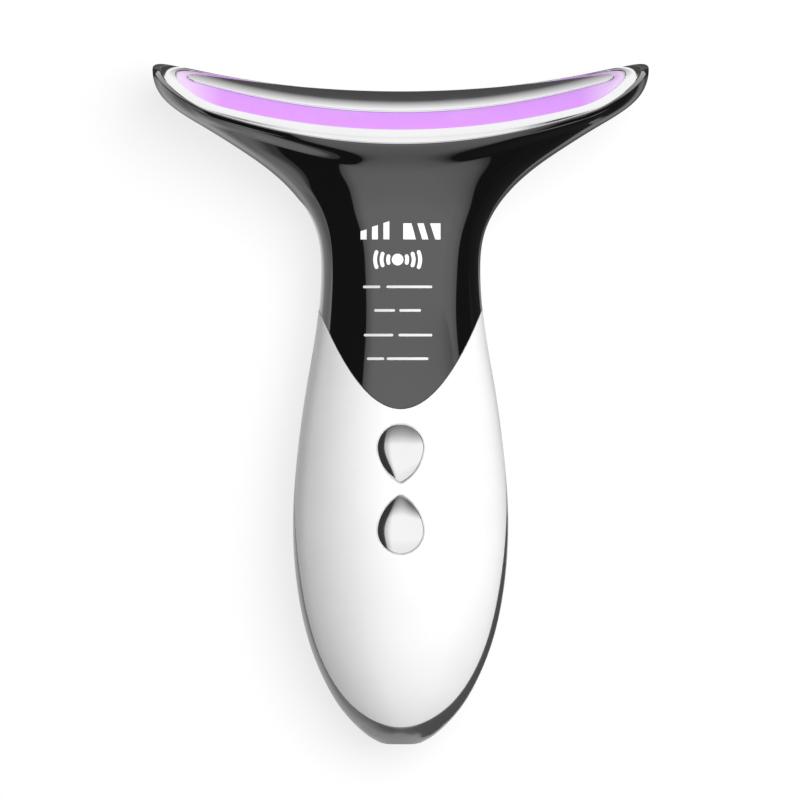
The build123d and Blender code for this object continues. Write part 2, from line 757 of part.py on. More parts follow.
# ------------------------------------------------------------------ buttons and their switches
flange_form = body_form(wall + flange_gap, cavity_start)
plunger_top = board_top + switch_height + plunger_rise
plunger_bottom = board_top + switch_height - plunger_inside
for side, distance, point_up in (("upper", upper_drop_distance, False), ("lower", lower_drop_distance, True)):
    flange_bottom = front_height(distance) - wall - flange_gap - flange_thickness
    crown = front_height(distance) + button_rise
    middle = distance + (1 if point_up else -1) * (drop_length / 2 - drop_round_radius)

    with BuildPart() as flange:
        with BuildSketch(drop_plane(distance, flange_bottom, point_up)):
            add(drop(flange_width))
        extrude(amount=2 * overrun)
        add(flange_form, mode=Mode.INTERSECT)

    with BuildPart() as button:
        with BuildSketch(drop_plane(distance, flange_bottom, point_up)):
            add(drop())
        extrude(amount=2 * overrun)
        with BuildPart(mode=Mode.PRIVATE) as dome:
            with Locations((0, along(middle), crown - button_dome_radius)):
                Sphere(button_dome_radius)
        add(dome.part, mode=Mode.INTERSECT)
        add(flange.part)
        with BuildSketch(Plane.XY.offset(plunger_top)):
            with Locations((0, along(distance))):
                Circle(stem_radius)
        extrude(amount=flange_bottom - plunger_top)
    button.part.label = side + "_button"
    export_step(button.part, f"parts/{side}_button.step")

    with BuildPart() as switch:
        with BuildSketch(Plane.XY.offset(board_top)):
            with Locations((0, along(distance))):
                Rectangle(switch_size, switch_size)
        extrude(amount=switch_height)
        chamfer(switch.edges().filter_by(Axis.Z), switch_corner)
        with BuildSketch(Plane.XY.offset(board_top + switch_height)):
            with Locations((0, along(distance))):
                Circle(plunger_radius + plunger_clearance)
        extrude(amount=-(plunger_inside + button_travel + layer_gap), mode=Mode.SUBTRACT)
    switch.part.label = side + "_switch"
    export_step(switch.part, f"parts/{side}_switch.step")

    with BuildPart() as plunger:
        with BuildSketch(Plane.XY.offset(plunger_bottom)):
            with Locations((0, along(distance))):
                Circle(plunger_radius)
        extrude(amount=plunger_top - plunger_bottom)
    plunger.part.label = side + "_plunger"
    export_step(plunger.part, f"parts/{side}_plunger.step")

# ------------------------------------------------------------------ battery
cell_axis_end = Plane(origin=(0, along(cell_start), cell_height), x_dir=(1, 0, 0), z_dir=(0, 1, 0))
with BuildPart() as battery_cell:
    with BuildSketch(cell_axis_end):
        Circle(cell_radius)
    extrude(amount=cell_length)
    fillet(battery_cell.edges(), cell_edge_radius)
battery_cell.part.label = "battery_cell"
export_step(battery_cell.part, "parts/battery_cell.step")

cell_end = cell_start + cell_length
with BuildPart() as battery_tabs:
    for distance in (cell_start - tab_thickness, cell_end):
        with BuildSketch(Plane(origin=(0, along(distance), cell_height), x_dir=(1, 0, 0), z_dir=(0, 1, 0))):
            Rectangle(tab_width, tab_height)
        extrude(amount=tab_thickness)
battery_tabs.part.label = "battery_tabs"
export_step(battery_tabs.part, "parts/battery_tabs.step")

with BuildPart() as battery_pad:
    with BuildSketch(Plane(origin=(0, along(pad_distance), cell_height), x_dir=(1, 0, 0), z_dir=(0, -1, 0))):
        Rectangle(pad_width, board_bottom - cell_height, align=(Align.CENTER, Align.MIN))
        Circle(cell_radius + layer_gap, mode=Mode.SUBTRACT)
    extrude(amount=pad_length / 2, both=True)
battery_pad.part.label = "battery_pad"
export_step(battery_pad.part, "parts/battery_pad.step")

tab_top = cell_height + tab_height / 2 - lead_radius
low_end = cell_start - tab_thickness
high_end = cell_end + tab_thickness
with BuildPart() as battery_leads:
    high_route = [(high_end, tab_top), (high_end + lead_run, tab_top), (high_end + lead_run, board_bottom)]
    low_route = [
        (low_end, tab_top),
        (low_end - lead_run, tab_top),
        (low_end - lead_run, lead_height),
        (board_start + lead_landing, lead_height),
        (board_start + lead_landing, board_bottom),
    ]
    add(lead(0, lead_bend, *high_route))
    add(lead(0, lead_bend, *low_route))
battery_leads.part.label = "battery_leads"
export_step(battery_leads.part, "parts/battery_leads.step")

# ------------------------------------------------------------------ vibration motor
motor_end = motor_start + motor_length
motor_face = Plane(origin=(0, along(motor_end), motor_height), x_dir=(1, 0, 0), z_dir=(0, 1, 0))
with BuildPart() as motor_can:
    with BuildSketch(motor_face):
        Circle(motor_radius)
    extrude(amount=-motor_length)
    fillet(motor_can.edges(), motor_edge_radius)
    with BuildSketch(motor_face):
        Circle(shaft_radius + shaft_clearance)
    extrude(amount=-(shaft_inside + layer_gap), mode=Mode.SUBTRACT)
motor_can.part.label = "motor_can"
export_step(motor_can.part, "parts/motor_can.step")

with BuildPart() as motor_sleeve:
    with BuildSketch(motor_face.offset(-(motor_length + sleeve_length) / 2)):
        Circle(motor_radius + sleeve_thickness)
        Circle(motor_radius + sleeve_clearance, mode=Mode.SUBTRACT)
    extrude(amount=sleeve_length)
motor_sleeve.part.label = "motor_sleeve"
export_step(motor_sleeve.part, "parts/motor_sleeve.step")

with BuildPart() as motor_shaft:
    with BuildSketch(motor_face.offset(-shaft_inside)):
        Circle(shaft_radius)
    extrude(amount=shaft_inside + weight_gap + weight_length + shaft_end)
motor_shaft.part.label = "motor_shaft"
export_step(motor_shaft.part, "parts/motor_shaft.step")

with BuildPart() as eccentric_weight:
    with BuildSketch(motor_face.offset(weight_gap)):
        Circle(weight_radius)
        with Locations((0, -weight_radius)):
            Rectangle(2 * weight_radius, 2 * weight_radius, mode=Mode.SUBTRACT)
        Circle(weight_hub_radius)
        Circle(shaft_radius, mode=Mode.SUBTRACT)
    extrude(amount=weight_length)
eccentric_weight.part.label = "eccentric_weight"
export_step(eccentric_weight.part, "parts/eccentric_weight.step")

with BuildPart() as motor_leads:
    for x in (-motor_lead_offset, motor_lead_offset):
        add(
            lead(
                x,
                lead_bend / 2,
                (motor_start, motor_height + motor_lead_rise),
                (motor_start - motor_lead_run, motor_height + motor_lead_rise),
                (motor_start - motor_lead_run, board_bottom),
            )
        )
motor_leads.part.label = "motor_leads"
export_step(motor_leads.part, "parts/motor_leads.step")

# ------------------------------------------------------------------ charging
mouth = Plane(origin=(0, along(socket_recess), socket_height), x_dir=(1, 0, 0), z_dir=(0, 1, 0))
with BuildPart() as charge_socket:
    with BuildSketch(mouth):
        SlotOverall(socket_width, socket_thickness)
    extrude(amount=socket_length)
    with BuildSketch(mouth):
        SlotOverall(socket_width - 2 * socket_wall, socket_thickness - 2 * socket_wall)
    extrude(amount=socket_length - socket_back, mode=Mode.SUBTRACT)
    with BuildSketch(mouth.offset(socket_length)):
        Rectangle(socket_tongue[0], socket_tongue[1])
    extrude(amount=-socket_tongue[2] - socket_back)
charge_socket.part.label = "charge_socket"
export_step(charge_socket.part, "parts/charge_socket.step")

with BuildPart() as charge_board:
    with BuildSketch(Plane.XY.offset(socket_bottom - charge_board_thickness)):
        with Locations((0, along(charge_board_start + charge_board_length / 2))):
            Rectangle(charge_board_width, charge_board_length)
        with Locations(*charge_post_places):
            Circle(screw_radius + screw_clearance, mode=Mode.SUBTRACT)
    extrude(amount=charge_board_thickness)
charge_board.part.label = "charge_board"
export_step(charge_board.part, "parts/charge_board.step")

with BuildPart() as charge_leads:
    for x in (-charge_lead_offset, charge_lead_offset):
        add(
            lead(
                x,
                lead_bend,
                (charge_lead_start, socket_bottom),
                (charge_lead_start, charge_lead_height),
                (board_start + lead_landing, charge_lead_height),
                (board_start + lead_landing, board_bottom),
            )
        )
charge_leads.part.label = "charge_leads"
export_step(charge_leads.part, "parts/charge_leads.step")

# Ribbon cable from the back of the light board to the connector at the main board's head end.
link = face_plane.offset(-light_board_depth - light_board_thickness - layer_gap - ribbon_thickness / 2)
link_start = link.from_local_coords((0, ribbon_run, 0))
link_end = link.from_local_coords((0, -ribbon_tail, 0))
ribbon_height = board_bottom - ribbon_connector[4] / 2
with BuildPart() as ribbon_cable:
    with BuildSketch(Plane.YZ):
        with BuildLine() as run:
            FilletPolyline(
                (along(ribbon_connector[1] + ribbon_connector[3] / 2), ribbon_height),
                (along(board_end + ribbon_turn), ribbon_height),
                (link_start.Y, link_start.Z),
                (link_end.Y, link_end.Z),
                radius=ribbon_bend,
            )
        trace(line_width=ribbon_thickness)
    extrude(amount=ribbon_width / 2, both=True)
ribbon_cable.part.label = "ribbon_cable"
export_step(ribbon_cable.part, "parts/ribbon_cable.step")
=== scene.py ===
"""Handheld facial toning device: the skins, metal faces, light ring, buttons and printed marks that are
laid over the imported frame, with their finishes, the studio and the camera.

Lengths are in millimetres until a mesh is made. +Y runs along the handle to the head and +Z is the front.
A place along the handle is given as its distance from the bottom end.
"""

import json
import math

import bmesh
import bpy
import numpy as np
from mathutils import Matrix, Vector

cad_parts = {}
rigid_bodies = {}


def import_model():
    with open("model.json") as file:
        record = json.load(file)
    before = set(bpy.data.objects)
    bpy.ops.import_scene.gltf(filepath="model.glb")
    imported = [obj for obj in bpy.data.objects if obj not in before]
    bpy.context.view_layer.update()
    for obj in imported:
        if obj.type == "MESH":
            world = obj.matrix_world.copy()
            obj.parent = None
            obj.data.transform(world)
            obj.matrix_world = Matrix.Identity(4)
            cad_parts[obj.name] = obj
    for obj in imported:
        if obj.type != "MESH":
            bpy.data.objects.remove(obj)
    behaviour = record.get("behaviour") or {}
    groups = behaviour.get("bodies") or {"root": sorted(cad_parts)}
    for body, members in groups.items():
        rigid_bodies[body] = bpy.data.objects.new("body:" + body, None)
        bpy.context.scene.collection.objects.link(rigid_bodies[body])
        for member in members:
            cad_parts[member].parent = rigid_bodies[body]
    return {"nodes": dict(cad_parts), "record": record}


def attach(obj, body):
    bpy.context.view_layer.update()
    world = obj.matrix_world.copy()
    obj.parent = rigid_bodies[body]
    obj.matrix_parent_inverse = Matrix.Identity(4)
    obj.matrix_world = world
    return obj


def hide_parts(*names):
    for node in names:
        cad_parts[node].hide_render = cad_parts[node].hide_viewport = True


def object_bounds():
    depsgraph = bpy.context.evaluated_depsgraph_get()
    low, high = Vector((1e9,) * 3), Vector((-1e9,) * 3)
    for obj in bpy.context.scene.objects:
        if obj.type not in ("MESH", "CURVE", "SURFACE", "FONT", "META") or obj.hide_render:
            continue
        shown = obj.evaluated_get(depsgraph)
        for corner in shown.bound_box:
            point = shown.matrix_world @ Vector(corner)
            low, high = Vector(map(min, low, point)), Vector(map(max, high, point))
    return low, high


for startup_object in list(bpy.data.objects):
    bpy.data.objects.remove(startup_object)
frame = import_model()
cad_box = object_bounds()

# ------------------------------------------------------------------ sizes shared with the frame
MM = 0.001
middle_y = 79.0
# Distance from the bottom end, centre's height, lean to the front in degrees, half-width, half-depth,
# radius of the rounded sides, and how far in front of the centre the shells' seam lies.
body_stations = np.array(
    [
        (0.0, 15.6, 0, 4.2, 3.1, 2.3, 8.7),
        (1.2, 15.7, 0, 6.5, 5.0, 3.7, 8.4),
        (3.2, 15.9, 0, 9.2, 7.1, 5.2, 7.9),
        (7.0, 16.2, 0, 12.9, 9.8, 7.2, 6.9),
        (13.5, 16.6, 0, 17.1, 12.9, 9.5, 5.9),
        (22.5, 17.0, 0, 20.9, 15.6, 11.5, 5.5),
        (35.0, 17.3, 0, 23.8, 17.9, 13.0, 5.3),
        (52.0, 17.4, 0, 25.0, 18.8, 13.7, 3.6),
        (67.0, 17.3, 0, 24.0, 18.3, 13.4, 1.0),
        (82.0, 16.9, 0, 22.0, 16.7, 12.4, 0.0),
        (97.0, 16.5, 1, 19.5, 14.7, 11.0, 0.0),
        (110.0, 16.3, 4, 18.5, 13.4, 10.2, 0.0),
        (119.0, 16.5, 7.5, 19.6, 13.5, 10.4, 0.0),
        (127.0, 17.1, 11, 24.0, 14.4, 11.1, 0.0),
        (134.0, 18.1, 14.5, 31.0, 16.1, 12.3, 0.0),
        (140.0, 19.0, 17, 39.2, 18.2, 13.9, 0.0),
        (145.0, 19.8, 18, 47.0, 20.5, 15.0, 0.0),
        (149.7, 21.3, 18, 54.2, 21.3, 15.6, 0.0),
        (154.0, 22.7, 18, 57.1, 22.0, 16.0, 0.0),
        (159.0, 24.3, 18, 57.4, 22.4, 16.2, 0.0),
    ]
)
table_round = 0.1
wall = 2.0
shell_gap = 0.1
seam_round = 0.18

# The lip outside the ring: its rounding, the width it keeps outside the pocket, how softly its spread sets
# in, and how far below the rim the spread holds and then fades.
lip_round = 0.3
lip_width = 0.4
lip_blend = 0.1
lip_hold = 1.5
lip_reach = 6.0

face_distance = 149.7
face_height = 21.3
face_lean = math.radians(18.0)
face_hollow_radius = 225.0
face_round_radius = 44.0
ring_outline = (55.6, 20.1, 16.0)
light_outline = (52.1, 15.5, 13.0)
plate_outline = (49.4, 7.8, 2.5, 1.5)
face_fit = 0.1
pocket_depth = 1.13
pocket_clearance = 0.1
inner_rim_depth = 1.6

tongue_tip = 77.9
tongue_opening = 0.0635

drop_round_radius = 5.4
drop_point_radius = 1.3
drop_flank_radius = 10.0
drop_length = 13.6
upper_drop_distance = 69.0
lower_drop_distance = 49.8
button_clearance = 0.15

apex = np.array([0.0, face_distance - middle_y, face_height])
face_normal = np.array([0.0, math.cos(face_lean), math.sin(face_lean)])
face_forward = np.array([0.0, -math.sin(face_lean), math.cos(face_lean)])


# ------------------------------------------------------------------ curves and arrays
halvings = 42
outline_steps = 20001


def smooth_through(knots, values, at):
    """Natural cubic spline through the knots: in each span, the straight line between its ends plus the
    cubic bend that its two second derivatives give; those solve the equations of equal slopes."""
    steps = np.diff(knots)
    count = len(knots)
    matrix = np.eye(count)
    inner = np.arange(1, count - 1)
    matrix[inner, inner - 1] = steps[:-1]
    matrix[inner, inner] = 2 * (steps[:-1] + steps[1:])
    matrix[inner, inner + 1] = steps[1:]
    slopes = np.diff(values, axis=0) / steps[:, None]
    right = np.zeros_like(values)
    right[1:-1] = 6 * np.diff(slopes, axis=0)
    bends = np.linalg.solve(matrix, right)
    at = np.clip(at, knots[0], knots[-1])
    span = np.clip(np.searchsorted(knots, at, side="right") - 1, 0, count - 2)
    step = steps[span][..., None]
    share = (at - knots[span])[..., None] / step
    rest = 1 - share
    line = rest * values[span] + share * values[span + 1]
    bend = (rest**3 - rest) * bends[span] + (share**3 - share) * bends[span + 1]
    return line + bend * step**2 / 6


def unit(vectors):
    """Vectors brought to length one."""
    return vectors / np.maximum(np.linalg.norm(vectors, axis=-1, keepdims=True), 1e-12)


def solve_rising(function, low, high):
    """Where a function that rises with its argument crosses zero: the span is halved again and again, for
    all places at once."""
    low, high = np.broadcast_arrays(np.asarray(low, float), np.asarray(high, float))
    low, high = low.copy(), high.copy()
    for _ in range(halvings):
        middle = (low + high) / 2
        above = function(middle) > 0
        high = np.where(above, middle, high)
        low = np.where(above, low, middle)
    return (low + high) / 2


def grid_normals(points):
    """The normal of a grid surface, across columns crossed with up the rows, from central differences."""
    return unit(np.cross(np.gradient(points, axis=1), np.gradient(points, axis=0)))


# ------------------------------------------------------------------ body form
def body_values(distance):
    """Height, lean, half-width, half-depth, end radius, seam rise, and the long arc's radius and the angle
    where the arcs meet, at that distance: R = ((a-r)^2 + b^2 - r^2) / 2(b-r), angle = atan((R-b)/(a-r))."""
    values = smooth_through(body_stations[:, 0], body_stations[:, 1:], distance)
    height, lean, half_width, half_depth, end_radius, rise = np.moveaxis(values, -1, 0)
    side = half_width - end_radius
    long_radius = (side**2 + half_depth**2 - end_radius**2) / (2 * (half_depth - end_radius))
    joint = np.arctan2(long_radius - half_depth, side)
    return height, np.radians(lean), half_width, half_depth, end_radius, rise, long_radius, joint


def oval_point(run, half_width, half_depth, end_radius, long_radius, joint):
    """A point of the four-arc oval at a run measured along it from its front middle, to the right positive:
    front arc, then end arc, then back arc, each as centre plus radius times the normal."""
    length = np.abs(run)
    front = long_radius * (np.pi / 2 - joint)
    end = front + 2 * end_radius * joint
    angle = np.where(
        length < front,
        np.pi / 2 - length / long_radius,
        np.where(length < end, joint - (length - front) / end_radius, -joint - (length - end) / long_radius),
    )
    on_end = (length >= front) & (length < end)
    radius = np.where(on_end, end_radius, long_radius)
    across = np.where(on_end, half_width - end_radius, 0) + radius * np.cos(angle)
    drop = np.where(on_end, 0, np.where(length < front, -1, 1) * (long_radius - half_depth))
    return np.sign(run) * across, radius * np.sin(angle) + drop


def half_round(distance):
    """The run from the front middle of the oval to its back middle."""
    _, _, _, _, end_radius, _, long_radius, joint = body_values(distance)
    return 2 * (long_radius * (np.pi / 2 - joint) + end_radius * joint)


def seam_run(distance, gap=0.0):
    """The run from the front middle to the seam, where the oval stands the seam's rise above its centre."""
    _, _, _, half_depth, end_radius, rise, long_radius, joint = body_values(distance)
    level = rise + gap
    on_front = level > end_radius * np.sin(joint)
    front_angle = np.arcsin(np.clip((level + long_radius - half_depth) / long_radius, -1, 1))
    end_angle = np.arcsin(np.clip(level / end_radius, -1, 1))
    front = long_radius * (np.pi / 2 - joint)
    beside = front + end_radius * (joint - end_angle)
    return np.where(on_front, long_radius * (np.pi / 2 - front_angle), beside)


def body_point(distance, run):
    """The body's surface: the oval at that distance, leaned with its section and set at its height. Below
    the table it is flattened, z = (z + sqrt(z^2 + e^2)) / 2, which rounds the land's edge over e."""
    height, lean, half_width, half_depth, end_radius, _, long_radius, joint = body_values(distance)
    full = 2 * half_round(distance)
    run = np.where(run > full / 2, run - full, run)
    across, up = oval_point(run, half_width, half_depth, end_radius, long_radius, joint)
    z = height + up * np.cos(lean)
    z = (z + np.sqrt(z**2 + table_round**2)) / 2
    return np.stack([across, distance - middle_y - up * np.sin(lean), z], axis=-1)


def body_normal(distance, run):
    """The body's outward normal there: the slope along the run crossed with the slope along the distance."""
    step = 0.01
    across = body_point(distance, run + step) - body_point(distance, run - step)
    along = body_point(distance + step, run) - body_point(distance - step, run)
    return unit(np.cross(across, along))


def above_face(points):
    """How far points stand above the saddle, hollow by one radius across and round by another lengthwise:
    the height over the face plane less that of an arc across, carried along an arc front to back."""
    local = points - apex
    forward = local @ face_forward
    turned = face_hollow_radius + face_round_radius - np.sqrt(face_round_radius**2 - forward**2)
    return local @ face_normal - (face_hollow_radius - np.sqrt(turned**2 - points[..., 0] ** 2))


def on_face(across, forward, depth=0.0):
    """The point a depth below the saddle, at a place on the face plane."""
    turned = face_hollow_radius + face_round_radius - np.sqrt((face_round_radius - depth) ** 2 - forward**2)
    rise = face_hollow_radius - np.sqrt(turned**2 - across**2)
    flat = np.stack([across, np.zeros_like(across), np.zeros_like(across)], axis=-1)
    return apex + flat + forward[..., None] * face_forward + rise[..., None] * face_normal


def face_outline(outline, angle, grow=0.0):
    """A four-arc oval on the face plane by the angle of its normal, grown by a margin. An outline's fourth
    value, where it has one, is how much deeper its rear half is, in proportion."""
    half_width, half_depth, end_radius = (size + grow for size in outline[:3])
    side = half_width - end_radius
    long_radius = (side**2 + half_depth**2 - end_radius**2) / (2 * (half_depth - end_radius))
    joint = math.atan2(long_radius - half_depth, side)
    cosine, sine = np.cos(angle), np.sin(angle)
    on_end = np.abs(sine) < math.sin(joint)
    across = np.where(on_end, np.sign(cosine) * side + end_radius * cosine, long_radius * cosine)
    arc = long_radius * sine - np.sign(sine) * (long_radius - half_depth)
    forward = np.where(on_end, end_radius * sine, arc)
    deeper = outline[3] if len(outline) > 3 else 1.0
    return across, np.where(forward < 0, forward * deeper, forward)


def outline_angles(outline, count):
    """Normal angles that step evenly along a four-arc oval, from its right end round through the front."""
    angle = np.linspace(0, 2 * np.pi, outline_steps)
    across, forward = face_outline(outline, angle)
    run = np.concatenate([[0], np.cumsum(np.hypot(np.diff(across), np.diff(forward)))])
    return np.interp(np.arange(count) / count * run[-1], run, angle)


# ------------------------------------------------------------------ meshes
sharp_angle = math.radians(50)
weld_distance = 2e-7
least_edge = 1e-7
corner_share = 0.8
corner_points = 9
turn_points = 4
piece_slots = {}


def make_piece(name, points, faces, body, replaces=(), slot=None):
    """A smooth-shaded mesh from millimetre points and quads, with doubles at poles and seams merged."""
    mesh = bpy.data.meshes.new(name)
    placed = np.clip(points * MM, *(np.array(corner) for corner in cad_box))
    mesh.from_pydata(placed.tolist(), [], faces.tolist())
    piece = bpy.data.objects.new(name, mesh)
    bpy.context.scene.collection.objects.link(piece)
    weld(mesh)
    mesh.polygons.foreach_set("use_smooth", np.ones(len(mesh.polygons), bool))
    mesh.set_sharp_from_angle(angle=sharp_angle)
    mesh.update()
    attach(piece, body)
    if replaces:
        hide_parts(*replaces)
    if slot:
        piece_slots[piece] = slot
    return piece


def weld(mesh):
    """Merges vertices that lie together and drops the faces that this closes up."""
    work = bmesh.new()
    work.from_mesh(mesh)
    bmesh.ops.remove_doubles(work, verts=work.verts, dist=weld_distance)
    bmesh.ops.dissolve_degenerate(work, edges=work.edges, dist=least_edge)
    work.to_mesh(mesh)
    work.free()


def grid_faces(index):
    """Quads of a grid of vertex numbers."""
    corners = (index[:-1, :-1], index[:-1, 1:], index[1:, 1:], index[1:, :-1])
    return np.stack([corner.ravel() for corner in corners], axis=-1)


def ring_faces(rings):
    """Quads between rings of vertex numbers, each joined to the next and closed on itself."""
    around = np.roll(rings, -1, axis=1)
    corners = (rings[:-1], rings[1:], around[1:], around[:-1])
    return np.stack([corner.ravel() for corner in corners], axis=-1)


def border(grid):
    """A grid's border in order: first row, last column, last row back, first column back."""
    return np.concatenate([grid[0, :-1], grid[:-1, -1], grid[-1, :0:-1], grid[:0:-1, 0]])


def toward(corner, other, reach):
    """The point a reach from a corner toward another point, but at most a share of the way to it."""
    leg = other - corner
    length = np.linalg.norm(leg, axis=-1, keepdims=True)
    return corner + unit(leg) * np.minimum(reach, corner_share * length)


def rounded_corner(before, corner, after, radius, count):
    """Points of the quadratic curve from one leg of a corner to the other, a radius from its corner."""
    start = toward(corner, before, radius)
    end = toward(corner, after, radius)
    share = np.linspace(0, 1, count)[:, None, None]
    return (1 - share) ** 2 * start + 2 * share * (1 - share) * corner + share**2 * end


def edge_rings(start, corner, turn, end, radius, turn_radius):
    """Rings that carry a surface from its border over a rounded edge, round a second turn, to an end."""
    first = rounded_corner(start, corner, turn, radius, corner_points)
    second = rounded_corner(corner, turn, end, turn_radius, turn_points)
    return np.concatenate([first, second, end[None]])


class Skin:
    """A shell built up from an outer surface, its rolled edges and its inner surface."""

    def __init__(self):
        self.points = []
        self.faces = []
        self.count = 0

    def add(self, points):
        """Puts points in and returns their numbers in the same arrangement."""
        flat = points.reshape(-1, 3)
        index = np.arange(len(flat)).reshape(points.shape[:-1]) + self.count
        self.points.append(flat)
        self.count += len(flat)
        return index

    def join(self, faces):
        """Puts quads in."""
        self.faces.append(faces)

    def piece(self, name, body, **options):
        """The finished mesh, without the points that no face uses."""
        used, faces = np.unique(np.concatenate(self.faces), return_inverse=True)
        return make_piece(name, np.concatenate(self.points)[used], faces.reshape(-1, 4), body, **options)


# ------------------------------------------------------------------ shells
columns = 181
front_share = np.linspace(-1, 1, columns)
head_rows = 231
head_crowding = 1.35
flare_distance = 140.0
tongue_span = (70.0, 112.0)
rim_span = (138.0, 159.0)
pocket_samples = 4000


def tongue_distance(across_share, gap, inset):
    """The distance at which a line of the front surface meets the tongue's parabola, moved off it by a gap
    and an inset."""

    def past_edge(distance):
        run = across_share * seam_run(distance, shell_gap)
        point = body_point(distance, run)
        slant = np.sqrt(1 + (2 * tongue_opening * point[..., 0]) ** 2)
        edge = tongue_tip - middle_y + tongue_opening * point[..., 0] ** 2
        return point[..., 1] - edge - (gap + inset) * slant

    return solve_rising(past_edge, tongue_span[0] + 0 * across_share, tongue_span[1])


def rim_distance(run_at, depth):
    """The distance at which each line of a surface comes up to a depth below the saddle."""

    def beyond_rim(distance):
        return above_face(body_point(distance, run_at(distance))) + depth

    return solve_rising(beyond_rim, rim_span[0] + 0 * run_at(rim_span[0]), rim_span[1])


def up_to_rim(low, run_at, depth, rows, crowding):
    """A surface from a lower distance to the rim: the rows' shares of the way are 1 - (1 - t)^p, which
    brings them closer together toward the rim, and the last ones are spread for the lip."""
    step = 1 - (1 - np.linspace(0, 1, rows)[:, None]) ** crowding
    distance = low + (rim_distance(run_at, depth) - low) * step
    return lipped(body_point(distance, run_at(distance)))


def head_surface(inset, depth):
    """The head cover's front: lines of equal share between the seams, from the tongue's edge to the rim."""

    def run_at(distance):
        return front_share * (seam_run(distance, shell_gap) - inset)

    inset_share = front_share * (1 - inset / seam_run(flare_distance))
    low = tongue_distance(inset_share, 0.0, inset)
    return up_to_rim(low, run_at, depth, head_rows, head_crowding)


def pocket_angle(points):
    """For rim points, the normal angles of the nearest points on the outline of the ring's pocket."""
    angle = outline_angles(ring_outline, pocket_samples)
    across, forward = face_outline(ring_outline, angle, face_fit)
    own_forward = (points - apex) @ face_forward
    gap = (points[:, None, 0] - across) ** 2 + (own_forward[:, None] - forward) ** 2
    return angle[np.argmin(gap, axis=1)]


def pocket_edge(points, depth=0.0):
    """For rim points, the nearest points on the outline of the pocket that takes the ring."""
    return on_face(*face_outline(ring_outline, pocket_angle(points), face_fit), depth)


def lipped(points):
    """Spreads a surface near its last row, so that it meets the face at least a lip's width outside the
    pocket: by (l + sqrt(l^2 + e^2)) / 2 where the lip lacks l, times (1 - t^2)^2, where t goes from 0 at the
    pocket's depth to 1 at the reach below it."""
    rim = points[-1]
    angle = pocket_angle(rim)
    outward = np.cos(angle)[:, None] * np.array([1.0, 0, 0]) + np.sin(angle)[:, None] * face_forward
    lacking = lip_width - np.sum((rim - pocket_edge(rim)) * outward, axis=-1)
    spread = (lacking + np.sqrt(lacking**2 + lip_blend**2)) / 2
    step = np.linalg.norm(np.diff(points, axis=0), axis=-1)
    below = np.concatenate([np.cumsum(step[::-1], axis=0)[::-1], 0 * step[:1]])
    past = np.clip((below - lip_hold) / lip_reach, 0, 1)
    return points + spread[:, None] * outward * (1 - past**2)[..., None] ** 2


def last_row(grid):
    """True along a grid's last row."""
    marked = np.zeros(grid.shape[:2], bool)
    marked[-1] = True
    return marked


def shell_edge(start, corner, normal, on_rim):
    """A shell's edge: rolled over to the inner surface and, along the rim, round the lip and down the
    pocket's wall."""
    turn = corner - normal * wall / 2
    end = corner - normal * wall
    turn[on_rim] = pocket_edge(corner[on_rim])
    end[on_rim] = pocket_edge(corner[on_rim], pocket_depth + pocket_clearance)
    radius = np.where(on_rim, lip_round, seam_round)[:, None]
    return edge_rings(start, corner, turn, end, radius, seam_round / 2)


def head_cover_skin():
    """The head cover: its outer grid, the rolled edge and the inner grid, which ends deeper at the rim."""
    skin = Skin()
    outer, sharp = head_surface(seam_round, lip_round), head_surface(0.0, 0.0)
    inner_rim = head_surface(seam_round, inner_rim_depth)
    outer_index = skin.add(outer)
    inner_index = skin.add(inner_rim - grid_normals(inner_rim) * wall)
    skin.join(grid_faces(outer_index))
    skin.join(grid_faces(inner_index)[:, ::-1])
    edge = shell_edge(*(border(grid) for grid in (outer, sharp, grid_normals(outer), last_row(outer))))
    rings = [border(outer_index)[None], skin.add(edge), border(inner_index)[None]]
    skin.join(ring_faces(np.concatenate(rings)))
    skin.piece("head_cover_skin", "housing", replaces=("head_cover",), slot="black_shell")


head_cover_skin()

# The front cover's rows: from the seam's round bottom up to the first button, past both buttons, and on
# to the tongue's edge.
seam_side = 4.6
window_levels = (41.0, 77.4)
window_rows = 36
window_columns = 29
window_rings = 15
window_crowding = 1.4
lower_rows = 60
lower_crowding = 1.3
bottom_fade = 6
upper_rows = 31
seam_search_low = 3.0
seam_samples = 400


def seam_half(distance, gap=0.0):
    """The seam's half-width at a distance."""
    return body_point(distance, seam_run(distance, gap))[..., 0]


def seam_bottom_distance(across, gap):
    """The distance of the seam's round bottom at a place across: where the seam's half-width is that much."""
    lowest = solve_rising(lambda at: seam_run(at, gap) - 1e-6, seam_search_low, seam_side)
    distance = lowest + (seam_side - lowest) * np.linspace(0, 1, seam_samples) ** 2
    return np.interp(np.abs(across), seam_half(distance, gap), distance)


def level_run(across, distance):
    """The run at which the body's front or end arc stands over a place across."""
    _, _, half_width, _, end_radius, _, long_radius, joint = body_values(distance)
    reach = np.abs(across)
    front_end = long_radius * (np.pi / 2 - joint)
    flat = long_radius * np.arcsin(np.clip(reach / long_radius, 0, 1))
    end_angle = np.arccos(np.clip((reach - half_width + end_radius) / end_radius, 0, 1))
    beside = front_end + end_radius * (joint - end_angle)
    return np.sign(across) * np.where(reach <= long_radius * np.cos(joint), flat, beside)


def level_point(across, distance):
    """The body's front surface over a place across."""
    return body_point(distance, level_run(across, distance))


